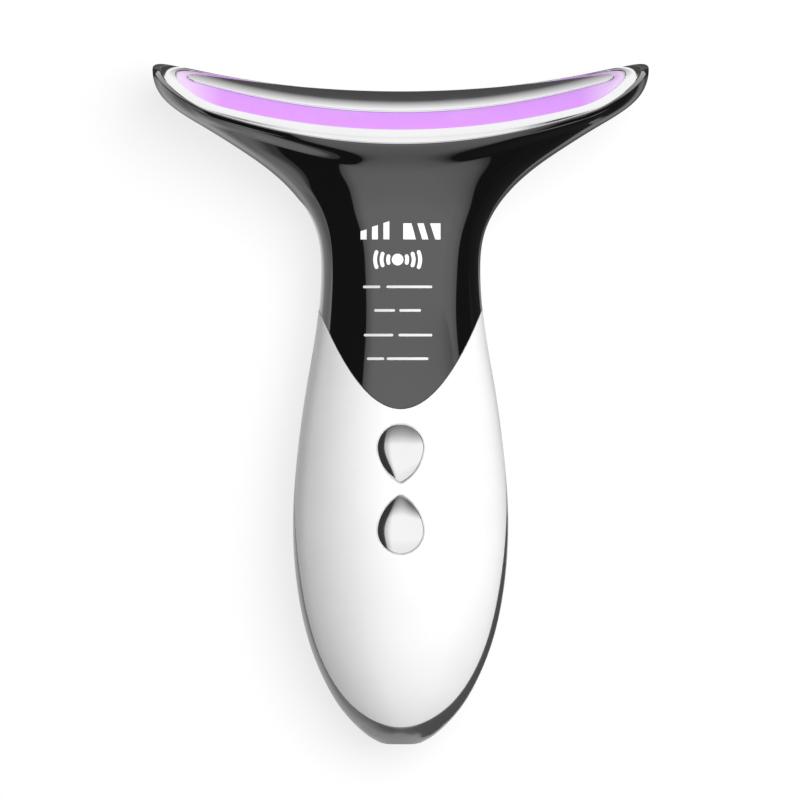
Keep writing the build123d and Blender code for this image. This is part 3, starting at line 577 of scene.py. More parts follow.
def front_surface(inset):
    """Distances and runs of the front cover's rows: the lowest follows the seam's bottom, the next ones
    straighten, those by the buttons are level, and the last bend up to the tongue's edge."""
    step = np.linspace(0, 1, lower_rows)[:, None]
    bottom = seam_bottom_distance(front_share * seam_half(seam_side, shell_gap), shell_gap)
    side_level = seam_side + (window_levels[0] - seam_side) * step**lower_crowding
    middle_level = bottom.min() + (window_levels[0] - bottom.min()) * step**lower_crowding
    bend = (bottom - bottom.min()) / (seam_side - bottom.min())
    lower = middle_level + (side_level - middle_level) * bend
    lower += inset * (1 - step) ** bottom_fade
    straight = level_run(front_share * seam_half(side_level, shell_gap), lower)
    lower_run = straight + (front_share * seam_run(lower, shell_gap) - straight) * step
    beside = np.linspace(window_levels[0], window_levels[1], 2 * window_rows + 1)[1:, None] + 0 * front_share
    top = tongue_distance(front_share, -shell_gap, -inset)
    upper = window_levels[1] + (top - window_levels[1]) * np.linspace(0, 1, upper_rows)[1:, None]
    distance = np.concatenate([lower, beside, upper])
    run = np.concatenate([lower_run, front_share * seam_run(distance[lower_rows:], shell_gap)])
    return distance, run - front_share * inset


drop_steps = 8001
drop_spacing = drop_length - drop_round_radius - drop_point_radius
to_round = drop_flank_radius - drop_round_radius
to_point = drop_flank_radius - drop_point_radius
flank_y = (to_point**2 - to_round**2 - drop_spacing**2) / (2 * drop_spacing)
flank_x = math.sqrt(to_round**2 - flank_y**2)


def drop_outline(angle, grow):
    """The drop by the angle of its normal: the round end's arc, the flanks' and the point's, each as its
    centre plus its radius times the normal."""
    cosine, sine = np.cos(angle), np.sin(angle)
    side = np.sign(cosine)
    on_round = sine > -flank_y / to_round
    on_point = sine < -(flank_y + drop_spacing) / to_point
    centre_x = np.where(on_round | on_point, 0, -flank_x * side)
    centre_y = np.where(on_round, 0, np.where(on_point, -drop_spacing, flank_y))
    beside = np.where(on_point, drop_point_radius, drop_flank_radius)
    radius = np.where(on_round, drop_round_radius, beside) + grow
    return centre_x + radius * cosine, centre_y + radius * sine


def drop_loop(count, grow, start=-np.pi / 2):
    """Points that step evenly round the drop, from the normal's starting angle."""
    angle = start + np.linspace(0, 2 * np.pi, drop_steps)
    x, y = drop_outline(angle, grow)
    run = np.concatenate([[0], np.cumsum(np.hypot(np.diff(x), np.diff(y)))])
    return drop_outline(np.interp(np.arange(count) / count * run[-1], run, angle), grow)


def button_opening(skin, outer, outer_index, inner_index, rows, distance, turn_sign):
    """The cover round a button: rings of points that pass from the drop's outline to a window of the grid,
    all on the body's surface, and the opening's rolled edge and wall."""
    span = slice(columns // 2 - window_columns, columns // 2 + window_columns + 1)
    window = border(outer[rows, span])
    window_index, window_inner = border(outer_index[rows, span]), border(inner_index[rows, span])
    count = len(window)
    first = np.arctan2(window[0, 1] - (distance - middle_y), window[0, 0])

    def outline(grow):
        x, y = drop_loop(count, grow, first + (np.pi if turn_sign < 0 else 0))
        return turn_sign * x, distance + turn_sign * y

    near_x, near_d = outline(button_clearance + seam_round)
    spread = (np.linspace(0, 1, window_rings)[:-1] ** window_crowding)[:, None]
    x = near_x + (window[:, 0] - near_x) * spread
    d = near_d + (window[:, 1] + middle_y - near_d) * spread
    rings = level_point(x, d)
    corner = level_point(*outline(button_clearance))
    down = np.array([0, 0, -wall])
    rolled = edge_rings(rings[0], corner, corner + down / 2, corner + down, seam_round, seam_round / 2)
    index = skin.add(rings)
    edge = skin.add(rolled)[::-1]
    hidden = skin.add(rings + down)
    skin.join(ring_faces(np.concatenate([hidden[:1], edge, index, window_index[None]])))
    skin.join(ring_faces(np.concatenate([hidden, window_inner[None]]))[:, ::-1])


def front_cover_skin():
    """The front cover: outer and inner grids without the buttons' windows, the rolled edge, and the rings
    round each button."""
    skin = Skin()
    place = front_surface(seam_round)
    outer, normals = body_point(*place), body_normal(*place)
    outer_index, inner_index = skin.add(outer), skin.add(outer - normals * wall)
    first_row = lower_rows - 1
    kept = np.ones((outer.shape[0] - 1, columns - 1), bool)
    middle_columns = slice(columns // 2 - window_columns, columns // 2 + window_columns)
    kept[first_row : first_row + 2 * window_rows, middle_columns] = False
    skin.join(grid_faces(outer_index)[kept.ravel()])
    skin.join(grid_faces(inner_index)[kept.ravel()][:, ::-1])
    edge = border(body_point(*front_surface(0.0)))
    inward = border(normals) * -wall
    rolled = edge_rings(border(outer), edge, edge + inward / 2, edge + inward, seam_round, seam_round / 2)
    rings = [border(outer_index)[None], skin.add(rolled), border(inner_index)[None]]
    skin.join(ring_faces(np.concatenate(rings)))
    for row, distance, turn_sign in ((0, lower_drop_distance, -1), (window_rows, upper_drop_distance, 1)):
        rows = slice(first_row + row, first_row + row + window_rows + 1)
        button_opening(skin, outer, outer_index, inner_index, rows, distance, turn_sign)
    skin.piece("front_cover_skin", "housing", replaces=("front_cover",), slot="white_cover")


front_cover_skin()

# The rear shell: an open trough behind the seam, and a closed end below it round the charge socket.
socket_height = 15.7
socket_half_width = 4.57
socket_half_height = 1.73
socket_wall_end = 3.2
socket_round = 0.15
socket_turn_round = 0.1
socket_search_high = 1.2
rear_rows = 151
rear_crowding = 1.2
rear_columns = 221
arc_columns = 41
end_levels = 40
end_crowding = 1.7
cap_levels = 7
rear_share = np.linspace(0, 1, rear_columns)


def rear_run(distance, inset):
    """Runs from the right seam round the back to the left seam, at equal shares."""
    first = seam_run(distance) + inset
    return first + rear_share * (2 * half_round(distance) - 2 * first)


def rear_surface(inset, depth):
    """The rear shell's trough, from the level of the seam's bottom to the rim of the face."""
    return up_to_rim(seam_side, lambda distance: rear_run(distance, inset), depth, rear_rows, rear_crowding)


def seam_bottom_arc(inset):
    """The seam round the bottom of the front cover, from left to right, without its ends."""
    side = seam_half(seam_side)
    across = np.linspace(-side, side, arc_columns + 2)[1:-1]
    return across, seam_bottom_distance(across, 0.0) - inset


def socket_outline(direction, grow):
    """How far the socket's slot reaches from its centre in a direction: its flat side or its round end."""
    cosine, sine = np.abs(np.cos(direction)), np.abs(np.sin(direction))
    radius = socket_half_height + grow
    side = socket_half_width - socket_half_height
    flat = radius / np.maximum(sine, 1e-9)
    rounded = side * cosine + np.sqrt(np.maximum(radius**2 - (side * sine) ** 2, 0))
    return np.where(flat * cosine <= side, flat, rounded)


def end_rows(run_share, last):
    """Rows of the closed end, from its last level down to the slot's outline: each column keeps its share
    of the way round; over the flat cap it goes straight to the slot."""
    step = np.linspace(1, 0, end_levels)[:, None] ** end_crowding
    start = body_point(0 * last, run_share * 2 * half_round(0 * last))
    direction = np.arctan2(start[:, 2] - socket_height, start[:, 0])

    def beyond(distance, grow):
        point = body_point(distance, run_share * 2 * half_round(distance))
        return np.hypot(point[:, 0], point[:, 2] - socket_height) - socket_outline(direction, grow)

    def slot_point(grow):
        distance = solve_rising(lambda at: beyond(at, grow), 0 * last, socket_search_high)
        point = body_point(distance, run_share * 2 * half_round(distance))
        reach = socket_outline(direction, grow)
        on_cap = beyond(0 * last, grow) > 0
        across = np.where(on_cap, reach * np.cos(direction), point[:, 0])
        height = np.where(on_cap, socket_height + reach * np.sin(direction), point[:, 2])
        return distance, np.stack([across, point[:, 1], height], axis=-1)

    first, edge = slot_point(seam_round)
    distance = first + (last - first) * step
    rows = body_point(distance, run_share * 2 * half_round(distance))
    cap = rows[-1] + (edge - rows[-1]) * np.linspace(0, 1, cap_levels)[1:, None, None]
    return np.concatenate([rows, cap]), slot_point(0.0)[1]


def trough_border(grid, arc):
    """The shell's border in order: the right seam down, the arc under the front cover, the left seam up,
    and the rim back."""
    return np.concatenate([grid[::-1, 0], arc[::-1], grid[:, -1], grid[-1, -2:0:-1]])


def rear_shell_skin():
    """The rear shell: the trough and its inner grid, the closed end from the trough and the seam's bottom
    down to the socket's slot and its wall, and the rolled edge."""
    skin = Skin()
    trough, sharp = rear_surface(seam_round, lip_round), rear_surface(0.0, 0.0)
    inner_rim = rear_surface(seam_round, inner_rim_depth)
    arc_across, arc_distance = seam_bottom_arc(seam_round)
    arc_run = level_run(arc_across, arc_distance)
    arc_normals = body_normal(arc_distance, arc_run)
    ring_distance = np.concatenate([np.full(rear_columns, seam_side), arc_distance])
    full = 2 * half_round(ring_distance)
    run_share = np.concatenate([rear_run(seam_side, seam_round), arc_run + full[rear_columns:]]) / full
    rows, slot_edge = end_rows(run_share, ring_distance)
    arc = rows[0, rear_columns:]
    trough_index = skin.add(trough)
    inner_index = skin.add(inner_rim - grid_normals(inner_rim) * wall)
    arc_index, arc_inner = skin.add(arc), skin.add(arc - arc_normals * wall)
    inward = np.array([0, 1.0, 0])
    slot_end = slot_edge + inward * socket_wall_end
    slot = edge_rings(rows[-1], slot_edge, slot_edge + inward, slot_end, socket_round, socket_turn_round)
    end_index = skin.add(np.concatenate([rows[1:], slot]))
    top, top_inner = np.concatenate([trough_index[0], arc_index]), np.concatenate([inner_index[0], arc_inner])
    skin.join(grid_faces(trough_index))
    skin.join(grid_faces(inner_index)[:, ::-1])
    skin.join(ring_faces(np.concatenate([top[None], end_index, top_inner[None]])))
    edge = shell_edge(
        trough_border(trough, arc),
        trough_border(sharp, level_point(*seam_bottom_arc(0.0))),
        trough_border(grid_normals(trough), arc_normals),
        trough_border(last_row(trough), np.zeros(arc_columns, bool)),
    )
    outer_border, inner_border = trough_border(trough_index, arc_index), trough_border(inner_index, arc_inner)
    skin.join(ring_faces(np.concatenate([outer_border[None], skin.add(edge), inner_border[None]])))
    skin.piece("rear_shell_skin", "housing", replaces=("rear_shell",), slot="dark_shell")


rear_shell_skin()

# ------------------------------------------------------------------ face pieces
electrode_thickness = 0.8
light_ring_drop = 0.3
light_ring_thickness = 2.3
face_edge_round = 0.2
edge_points = 6
ring_crown = 0.12
light_crown = 0.1
band_rows = 19
band_columns = 720
plate_columns = 640
plate_rows = 61
underside_rows = 9


def edge_turn(radius):
    """Inset and drop of a rounded edge, from the top of its wall over to the surface: a quarter circle, so
    r (1 - cos t) and r (1 - sin t)."""
    turn = np.linspace(0, np.pi / 2, edge_points)
    return radius * (1 - np.cos(turn)), radius * (1 - np.sin(turn))


def face_band(name, outer, inner, top, bottom, crown, **options):
    """A closed band that lies on the saddle between two outlines: a rounded edge, a low crown of half a sine
    wave, the other rounded edge, and a flat underside, carried round by the angle of the normal."""
    angle = outline_angles(outer, band_columns)
    inset, drop = edge_turn(face_edge_round)
    first = [np.stack(face_outline(outer, angle, -step)) for step in inset]
    last = [np.stack(face_outline(inner, angle, step)) for step in inset[::-1]]
    between = np.linspace(0, 1, band_rows)[1:-1]
    middle = [first[-1] + (last[0] - first[-1]) * part for part in between]
    ends = [np.stack(face_outline(outer, angle)), np.stack(face_outline(inner, angle))]
    plan = np.stack([ends[0], *first, *middle, *last, ends[1]])
    foot = [bottom - top]
    depth = np.concatenate([foot, drop, -crown * np.sin(np.pi * between), drop[::-1], foot])
    band = Skin()
    index = band.add(on_face(plan[:, 0], plan[:, 1], top + depth[:, None]))
    band.join(ring_faces(np.concatenate([index, index[:1]])))
    band.piece(name, "housing", **options)


def fill(skin, loop, rows, place, turned):
    """Closes a loop that is alike on both sides with a grid, its facing points joined by rows."""
    half = loop.shape[1] // 2
    right = loop[:, : half + 1]
    left = np.roll(loop[:, ::-1], 1, axis=1)[:, : half + 1]
    plan = right[:, None, :] + (left - right)[:, None, :] * np.linspace(0, 1, rows)[:, None]
    faces = grid_faces(skin.add(place(plan[0], plan[1])))
    skin.join(faces[:, ::-1] if turned else faces)


def face_plate_skin():
    """The inner plate: a wall and a rounded edge round its outline, closed by a grid above and below."""
    angle = outline_angles(plate_outline, plate_columns)
    inset, drop = edge_turn(face_edge_round)
    plan = np.stack([np.stack(face_outline(plate_outline, angle, -step)) for step in inset])
    foot = on_face(*face_outline(plate_outline, angle), electrode_thickness)
    skin = Skin()
    rings = on_face(plan[:, 0], plan[:, 1], drop[:, None])
    skin.join(ring_faces(skin.add(np.concatenate([foot[None], rings]))))
    fill(skin, plan[-1], plate_rows, on_face, True)
    fill(skin, plan[0], underside_rows, lambda x, forward: on_face(x, forward, electrode_thickness), False)
    skin.piece("face_plate_skin", "housing", replaces=("inner_electrode",), slot="polished_steel")


face_band(
    "face_ring_skin",
    ring_outline,
    light_outline,
    0.0,
    electrode_thickness,
    ring_crown,
    replaces=("outer_electrode",),
    slot="polished_steel",
)
face_band(
    "light_ring_skin",
    tuple(size - face_fit for size in light_outline),
    (*(size + face_fit for size in plate_outline[:3]), plate_outline[3]),
    light_ring_drop,
    light_ring_drop + light_ring_thickness,
    light_crown,
    replaces=("light_ring",),
    slot="light_guide",
)
face_plate_skin()

# ------------------------------------------------------------------ buttons
flange_width = 1.0
flange_thickness = 1.2
flange_gap = 0.2
stem_radius = 2.2
stem_end = 29.7
cap_slope_across = 0.6
cap_core_across = 3.2
cap_slope_along = 0.75
cap_core_along = 8.0
cap_rise = 1.75
cap_edge_round = 0.25
cap_columns = 360
cap_rows = 81
stem_columns = 64
hidden_rows = 5

# The crest's narrowing toward the drop's point: a, b, s and n of the formula in button_skin.
narrow_share = 0.85
narrow_gain = 0.085
narrow_start = 0.5
narrow_reach = 3.6


def button_skin(side, distance, turn_sign):
    """A button: the cap, whose fall along and across is k (sqrt(x^2 + c^2) - c), a round crest that runs out
    into slopes of k; its wall, the flange under the cover and the stem. Across, x is first multiplied by
    a + b e^((m - s - y) / n), which grows from the drop's middle m toward its point and narrows the crest."""
    level = body_point(np.array(distance), np.array(0.0))[2]
    middle = drop_round_radius - drop_length / 2
    flange_top = level - wall - flange_gap

    def cap(x, y, down=0.0):
        narrowing = narrow_share + narrow_gain * np.exp((middle - narrow_start - y) / narrow_reach)
        fall = cap_slope_across * (np.hypot(x * narrowing, cap_core_across) - cap_core_across)
        fall = fall + cap_slope_along * (np.hypot(y - middle, cap_core_along) - cap_core_along)
        return flat(x, y, level + cap_rise - fall - down)

    def flat(x, y, height):
        place = np.broadcast_arrays(turn_sign * x, distance - middle_y + turn_sign * y, height)
        return np.stack(place, axis=-1)

    skin = Skin()
    inset, down = edge_turn(cap_edge_round)
    loops = [np.stack(drop_loop(cap_columns, -step)) for step in inset[::-1]]
    rings = [cap(*loop, drop) for loop, drop in zip(loops, down[::-1])]
    foot = np.stack(drop_loop(cap_columns, flange_width))
    flange_end = flange_top - flange_thickness
    rings += [flat(*loops[-1], flange_top), flat(*foot, flange_top), flat(*foot, flange_end)]
    skin.join(ring_faces(skin.add(np.stack(rings))))
    fill(skin, loops[0], cap_rows, cap, False)
    fill(skin, foot, hidden_rows, lambda x, y: flat(x, y, flange_end), True)
    around = -np.pi / 2 + np.arange(stem_columns) / stem_columns * 2 * np.pi
    circle = np.stack([stem_radius * np.cos(around), stem_radius * np.sin(around)])
    stem_top = flange_top - flange_thickness / 2
    skin.join(ring_faces(skin.add(np.stack([flat(*circle, stem_top), flat(*circle, stem_end)]))))
    fill(skin, circle, hidden_rows, lambda x, y: flat(x, y, stem_top), False)
    fill(skin, circle, hidden_rows, lambda x, y: flat(x, y, stem_end), True)
    body = side + "_button"
    skin.piece(body + "_skin", body, replaces=(body,), slot="button_metal")


button_skin("upper", upper_drop_distance, 1)
button_skin("lower", lower_drop_distance, -1)

# ------------------------------------------------------------------ printed marks
mark_lift = 0.02
mark_depth = 0.06
mark_middle = -0.7
mark_step = 0.4
panel_span = (70.0, 140.0)
block_columns = 5
block_rows = 9
pill_rows = 7
pill_end_points = 13


def panel_point(x, y):
    """The head cover's front over a place in plan."""
    distance = solve_rising(lambda at: level_point(x, at)[..., 1] - y, panel_span[0] + 0 * y, panel_span[1])
    return level_point(x, distance)


def add_mark(skin, x, y):
    """A thin slab of ink over a grid of places, x to the right along its columns and y up its rows."""
    top = panel_point(x, y) + np.array([0, 0, mark_lift])
    top_index, under_index = skin.add(top), skin.add(top - np.array([0, 0, mark_depth]))
    skin.join(grid_faces(top_index))
    skin.join(grid_faces(under_index)[:, ::-1])
    skin.join(ring_faces(np.stack([border(top_index), border(under_index)])))


def add_block(skin, foot, top, foot_height, left_height, right_height):
    """A block between two sides: foot and top give where its left and right sides stand there, and the
    heights how far each side rises from the foot."""
    u, v = np.meshgrid(np.linspace(0, 1, block_columns), np.linspace(0, 1, block_rows))
    low = foot[0] + (foot[1] - foot[0]) * u
    high = top[0] + (top[1] - top[0]) * u
    add_mark(skin, low + (high - low) * v, foot_height + v * (left_height + (right_height - left_height) * u))


def add_pill(skin, x, y, half_length, half_width, bend=0):
    """A bar with round ends, or an upright one that is bent round a centre to its left, or to its right
    where the bend's radius is negative."""
    turn = np.linspace(-np.pi / 2, np.pi / 2, pill_end_points)
    half_turn = pill_end_points // 2
    side = half_length - half_width
    middle = np.linspace(-side, side, 2 + 2 * math.ceil(side / mark_step))[1:-1]
    low, high = turn[: half_turn + 1], turn[half_turn:]
    length = np.concatenate([half_width * np.sin(low) - side, middle, side + half_width * np.sin(high)])
    reach = half_width * np.concatenate([np.cos(low), 1 + 0 * middle, np.cos(high)])
    along, across = np.meshgrid(length, np.linspace(-1, 1, pill_rows))
    across = across * reach
    if bend:
        angle = along.T / abs(bend)
        radius = abs(bend) + across.T * np.sign(bend)
        along = np.sign(bend) * (radius * np.cos(angle) - abs(bend))
        across = radius * np.sin(angle)
    add_mark(skin, x + along, y + across)


# Bars: the left and right sides and their heights. Blocks: the sides at the foot, then at the top. Arcs:
# how far from the middle, half-length and bend. Dash lines: the height, then each dash's middle and
# half-length.
sign_foot = 37.95
sign_height = 3.7
level_bars = ((-9.25, -7.86, 1.9, 2.3), (-6.61, -5.26, 2.9, 3.3), (-3.98, -2.61, 3.75, 4.2))
cut_blocks = (((0.6, 3.5), (0.6, 2.5)), ((5.0, 6.4), (3.85, 5.3)), ((8.0, 9.2), (6.8, 9.2)))
pulse_height = 33.3
pulse_dot = 1.35
pulse_stroke = 0.44
pulse_arcs = ((2.2, 1.2, 2.6), (3.7, 1.8, 3.6), (5.2, 2.2, 4.6))
dash_width = 0.3
dash_lines = (
    (27.0, (-6.0, 2.0), (2.7, 5.3)),
    (21.55, (-3.0, 2.4), (2.9, 2.5)),
    (15.85, (-4.4, 3.4), (4.1, 3.9)),
    (10.4, (-5.1, 2.0), (2.3, 4.8)),
)

signs = Skin()
for left, right, left_height, right_height in level_bars:
    add_block(signs, (left, right), (left, right), sign_foot, left_height, right_height)
for foot, top in cut_blocks:
    add_block(signs, foot, top, sign_foot, sign_height, sign_height)
add_pill(signs, mark_middle, pulse_height, pulse_dot, pulse_dot)
for offset, half_length, bend in pulse_arcs:
    for side in (-1, 1):
        place = mark_middle + side * offset
        add_pill(signs, place, pulse_height, half_length, pulse_stroke, side * bend)
panel_signs = signs.piece("panel_signs", "housing")

dashes = Skin()
for height, *line in dash_lines:
    for middle, half_length in line:
        add_pill(dashes, mark_middle + middle, height, half_length, dash_width)
panel_dashes = dashes.piece("panel_dashes", "housing")

# ------------------------------------------------------------------ finishes
light_colour = (0.66, 0.27, 0.9)
light_pale = (0.86, 0.7, 0.91)
light_strength = 0.2
pale_from = 0.041
pale_to = 0.053


class Finish:
    """A Principled material, and short ways to add the nodes that vary it over the surface."""

    def __init__(self, name, **values):
        self.material = bpy.data.materials.new(name)
        self.material.use_nodes = True
        self.tree = self.material.node_tree
        self.shader = self.tree.nodes["Principled BSDF"]
        for socket, value in values.items():
            self.shader.inputs[socket.replace("_", " ")].default_value = value
        coordinates = self.tree.nodes.new("ShaderNodeTexCoord")
        self.place = coordinates.outputs["Object"]

    def put(self, value, target):
        """Links another node's socket to a socket, or sets the socket to a value."""
        if isinstance(value, bpy.types.NodeSocket):
            self.tree.links.new(value, target)
        else:
            target.default_value = value

    def add(self, kind, **inputs):
        """A node with its sockets set to values or linked to other nodes' sockets."""
        node = self.tree.nodes.new("ShaderNode" + kind)
        for socket, value in inputs.items():
            self.put(value, node.inputs[socket.replace("_", " ")])
        return node

    def math(self, operation, *values):
        """A math operation on values or other nodes' sockets."""
        node = self.tree.nodes.new("ShaderNodeMath")
        node.operation = operation
        for target, value in zip(node.inputs, values):
            self.put(value, target)
        return node.outputs["Value"]

    def stretched(self, x, y, z):
        """Object coordinates multiplied along each axis."""
        return self.add("Mapping", Vector=self.place, Scale=(x, y, z)).outputs["Vector"]

    def noise(self, scale, detail=2.0, vector=None):
        """Noise with that many waves in a metre."""
        node = self.add("TexNoise", Vector=vector or self.place, Scale=scale, Detail=detail)
        return node.outputs["Fac"]

    def ramp(self, value, low, high, first=0.0, last=1.0):
        """A value brought from one range to another, held at its ends."""
        node = self.add("MapRange", Value=value, From_Min=first, From_Max=last, To_Min=low, To_Max=high)
        return node.outputs["Result"]

    def cloud(self, scale, detail, low=0.0, high=1.0, spread=0.2):
        """Noise brought to a range, from those of its values that lie within a spread of a half."""
        return self.ramp(self.noise(scale, detail), low, high, 0.5 - spread, 0.5 + spread)

    def blend(self, part, first, second):
        """One colour passing into another."""
        node = self.tree.nodes.new("ShaderNodeMix")
        node.data_type = "RGBA"
        self.put(part, node.inputs["Factor"])
        ends = [socket for socket in node.inputs if socket.type == "RGBA"]
        for target, colour in zip(ends, (first, second)):
            target.default_value = (*colour, 1)
        return [socket for socket in node.outputs if socket.type == "RGBA"][0]

    def link(self, value, socket):
        """Links a value to a socket of the shader."""
        self.tree.links.new(value, self.shader.inputs[socket])

    def tint(self, tone, colour, least):
        """The base colour, which passes from a least share of itself to its full self with a tone."""
        shade = self.blend(tone, tuple(least * part for part in colour), colour)
        self.link(shade, "Base Color")
        return shade

    def bump(self, height, depth):
        """Relief of a depth in metres."""
        node = self.add("Bump", Height=height, Strength=1.0, Distance=depth)
        self.link(node.outputs["Normal"], "Normal")


def gloss_plastic(name, colour, roughness, specular=0.5, coat=0.0, ior=1.5):
    """Moulded plastic polished in the tool: a faint waviness, cloudy gloss and a slight drift of tone."""
    finish = Finish(name, Base_Color=(*colour, 1), IOR=ior, Specular_IOR_Level=specular, Coat_Weight=coat)
    finish.shader.inputs["Coat Roughness"].default_value = 0.03
    finish.tint(finish.cloud(60, 3, spread=0.15), colour, 0.97)
    finish.link(finish.cloud(900, 4, roughness * 0.8, roughness * 1.25), "Roughness")
    finish.bump(finish.noise(260, 2), 0.0000025)
    return finish.material


def satin_plastic(name, colour, roughness, grain=5200):
    """Spark-eroded plastic: a fine even grain and a cloudy sheen."""
    finish = Finish(name, Base_Color=(*colour, 1), IOR=1.5, Roughness=roughness)
    finish.tint(finish.cloud(90, 3, spread=0.15), colour, 0.9)
    finish.link(finish.cloud(700, 3, roughness * 0.9, roughness * 1.12), "Roughness")
    finish.bump(finish.noise(grain, 1), 0.000008)
    return finish.material


def polished_metal(name, colour, roughness, across=40, along=2600, depth=0.0000006):
    """Polished metal with hairlines that run across the object, and faint handling marks."""
    finish = Finish(name, Base_Color=(*colour, 1), Metallic=1.0)
    finish.tint(finish.cloud(75, 3), colour, 0.96)
    marks = finish.ramp(finish.noise(130, 4), roughness * 0.8, roughness * 1.5, 0.35, 0.7)
    finish.link(marks, "Roughness")
    finish.bump(finish.noise(1.0, 3, finish.stretched(across, along, along)), depth)
    return finish.material


def dull_metal(name, colour, roughness, scale=2400):
    """Plated or turned metal with a fine uneven grain."""
    finish = Finish(name, Base_Color=(*colour, 1), Metallic=1.0)
    finish.tint(finish.cloud(scale / 6, 3), colour, 0.85)
    grain = finish.noise(scale, 3)
    finish.link(finish.ramp(grain, roughness * 0.75, roughness * 1.3, 0.3, 0.7), "Roughness")
    finish.bump(grain, 0.000004)
    return finish.material


def light_guide(name):
    """Frosted light guide: violet light that pales toward the tips, with the lamps' soft unevenness."""
    finish = Finish(name, Roughness=0.32, IOR=1.49, Emission_Strength=light_strength)
    across = finish.math("ABSOLUTE", finish.add("SeparateXYZ", Vector=finish.place).outputs["X"])
    out = finish.ramp(across, 0.0, 1.0, pale_from, pale_to)
    paleness = finish.math("ADD", out, finish.cloud(110, 3, -0.06, 0.06))
    colour = finish.blend(paleness, light_colour, light_pale)
    finish.link(colour, "Base Color")
    finish.link(colour, "Emission Color")
    finish.link(finish.cloud(1500, 2, 0.26, 0.4), "Roughness")
    finish.bump(finish.noise(3200, 1), 0.000004)
    return finish.material


def circuit_board(name, colour):
    """Solder mask over traces: the lines where a pattern of square cells meet stand a little higher and
    show as a lighter green."""
    finish = Finish(name, Base_Color=(*colour, 1), IOR=1.55, Roughness=0.28)
    cells = finish.add("TexVoronoi", Vector=finish.stretched(420, 420, 420), Scale=1.0)
    cells.distance = "CHEBYCHEV"
    traces = finish.ramp(cells.outputs["Distance"], 1.0, 0.0, 0.42, 0.5)
    lighter = tuple(min(1.0, 2.1 * part + 0.01) for part in colour)
    finish.link(finish.blend(traces, lighter, colour), "Base Color")
    finish.link(finish.cloud(4000, 1, 0.22, 0.36), "Roughness")
    finish.bump(traces, 0.00002)
    return finish.material


def rubbery(name, colour, roughness, scale, depth):
    """Foam, rubber or wire sheath: a cellular or pebbled surface, with painted shade in each cell's hollow.
    """
    finish = Finish(name, Base_Color=(*colour, 1), IOR=1.45, Roughness=roughness)
    cells = finish.add("TexVoronoi", Vector=finish.place, Scale=scale)
    # Painted shade: the colour darkens toward each cell's middle, where the bump sinks.
    finish.tint(finish.ramp(cells.outputs["Distance"], 0.0, 1.0, 0.0, 0.6), colour, 0.6)
    finish.bump(cells.outputs["Distance"], depth)
    return finish.material


def printed_ink(name, colour, glow):
    """Screen-printed ink lit from behind: even, and a little grainy in its tone and its sheen."""
    finish = Finish(name, Base_Color=(*colour, 1), IOR=1.45, Roughness=0.35, Emission_Strength=glow)
    finish.link(finish.tint(finish.cloud(2600, 3), colour, 0.94), "Emission Color")
    finish.link(finish.cloud(5200, 1, 0.28, 0.42), "Roughness")
    return finish.material


finishes = {
    "white_cover": gloss_plastic("white_cover", (0.93, 0.93, 0.93), 0.34),
    "black_shell": gloss_plastic("black_shell", (0.002, 0.002, 0.0022), 0.05, specular=1.0, coat=1.0),
    "dark_shell": gloss_plastic("dark_shell", (0.1, 0.1, 0.102), 0.2, specular=0.9, ior=1.8),
    "polished_steel": polished_metal("polished_steel", (0.9, 0.9, 0.91), 0.09),
    "light_guide": light_guide("light_guide"),
    "button_metal": polished_metal("button_metal", (0.92, 0.92, 0.93), 0.06),
    "frame_plastic": satin_plastic("frame_plastic", (0.03, 0.03, 0.033), 0.5),
    "circuit_board": circuit_board("circuit_board", (0.008, 0.1, 0.035)),
    "component": satin_plastic("component", (0.02, 0.02, 0.022), 0.45, 3800),
    "screw_steel": dull_metal("screw_steel", (0.55, 0.56, 0.58), 0.3),
    "nickel": dull_metal("nickel", (0.68, 0.67, 0.63), 0.25),
    "cell_wrap": gloss_plastic("cell_wrap", (0.02, 0.09, 0.3), 0.2),
    "foam": rubbery("foam", (0.07, 0.07, 0.075), 0.9, 1500, 0.0001),
    "gasket": rubbery("gasket", (0.03, 0.03, 0.03), 0.65, 4200, 0.00002),
    "film": satin_plastic("film", (0.55, 0.22, 0.04), 0.25, 2600),
    "lamp": gloss_plastic("lamp", (0.85, 0.82, 0.62), 0.12),
    "wire": rubbery("wire", (0.4, 0.02, 0.02), 0.45, 5200, 0.00001),
    "brass_weight": dull_metal("brass_weight", (0.6, 0.42, 0.16), 0.25),
    "sign_ink": printed_ink("sign_ink", (0.95, 0.95, 0.95), 0.2),
    "dash_ink": printed_ink("dash_ink", (0.8, 0.8, 0.8), 0.0),
}


def set_finish(thing, material):
    """Gives an object that material alone."""
    for _ in range(len(thing.material_slots)):
        thing.data.materials.pop()
    thing.data.materials.append(material)


for entry in frame["record"]["subparts"]:
    set_finish(frame["nodes"][entry["node"]], finishes[entry["material_slot"]])
for piece, slot in piece_slots.items():
    set_finish(piece, finishes[slot])
set_finish(panel_signs, finishes["sign_ink"])
set_finish(panel_dashes, finishes["dash_ink"])

# ------------------------------------------------------------------ studio
white = (1, 1, 1, 1)
through_rays = ("Is Glossy Ray", "Is Transmission Ray")
floor_lit = 0.2
floor_bounce = 0.6
floor_reach = 12.0
floor_drop = 0.0001
floor_whitens_from = 0.15
floor_white_from = 0.9
world_fill = 0.09


def sheet(name, corners, material):
    """A flat stage sheet through four corners in metres."""
    mesh = bpy.data.meshes.new(name)
    mesh.from_pydata(corners, [], [(0, 1, 2, 3)])
    thing = bpy.data.objects.new(name, mesh)
    bpy.context.scene.collection.objects.link(thing)
    mesh.materials.append(material)
    return thing


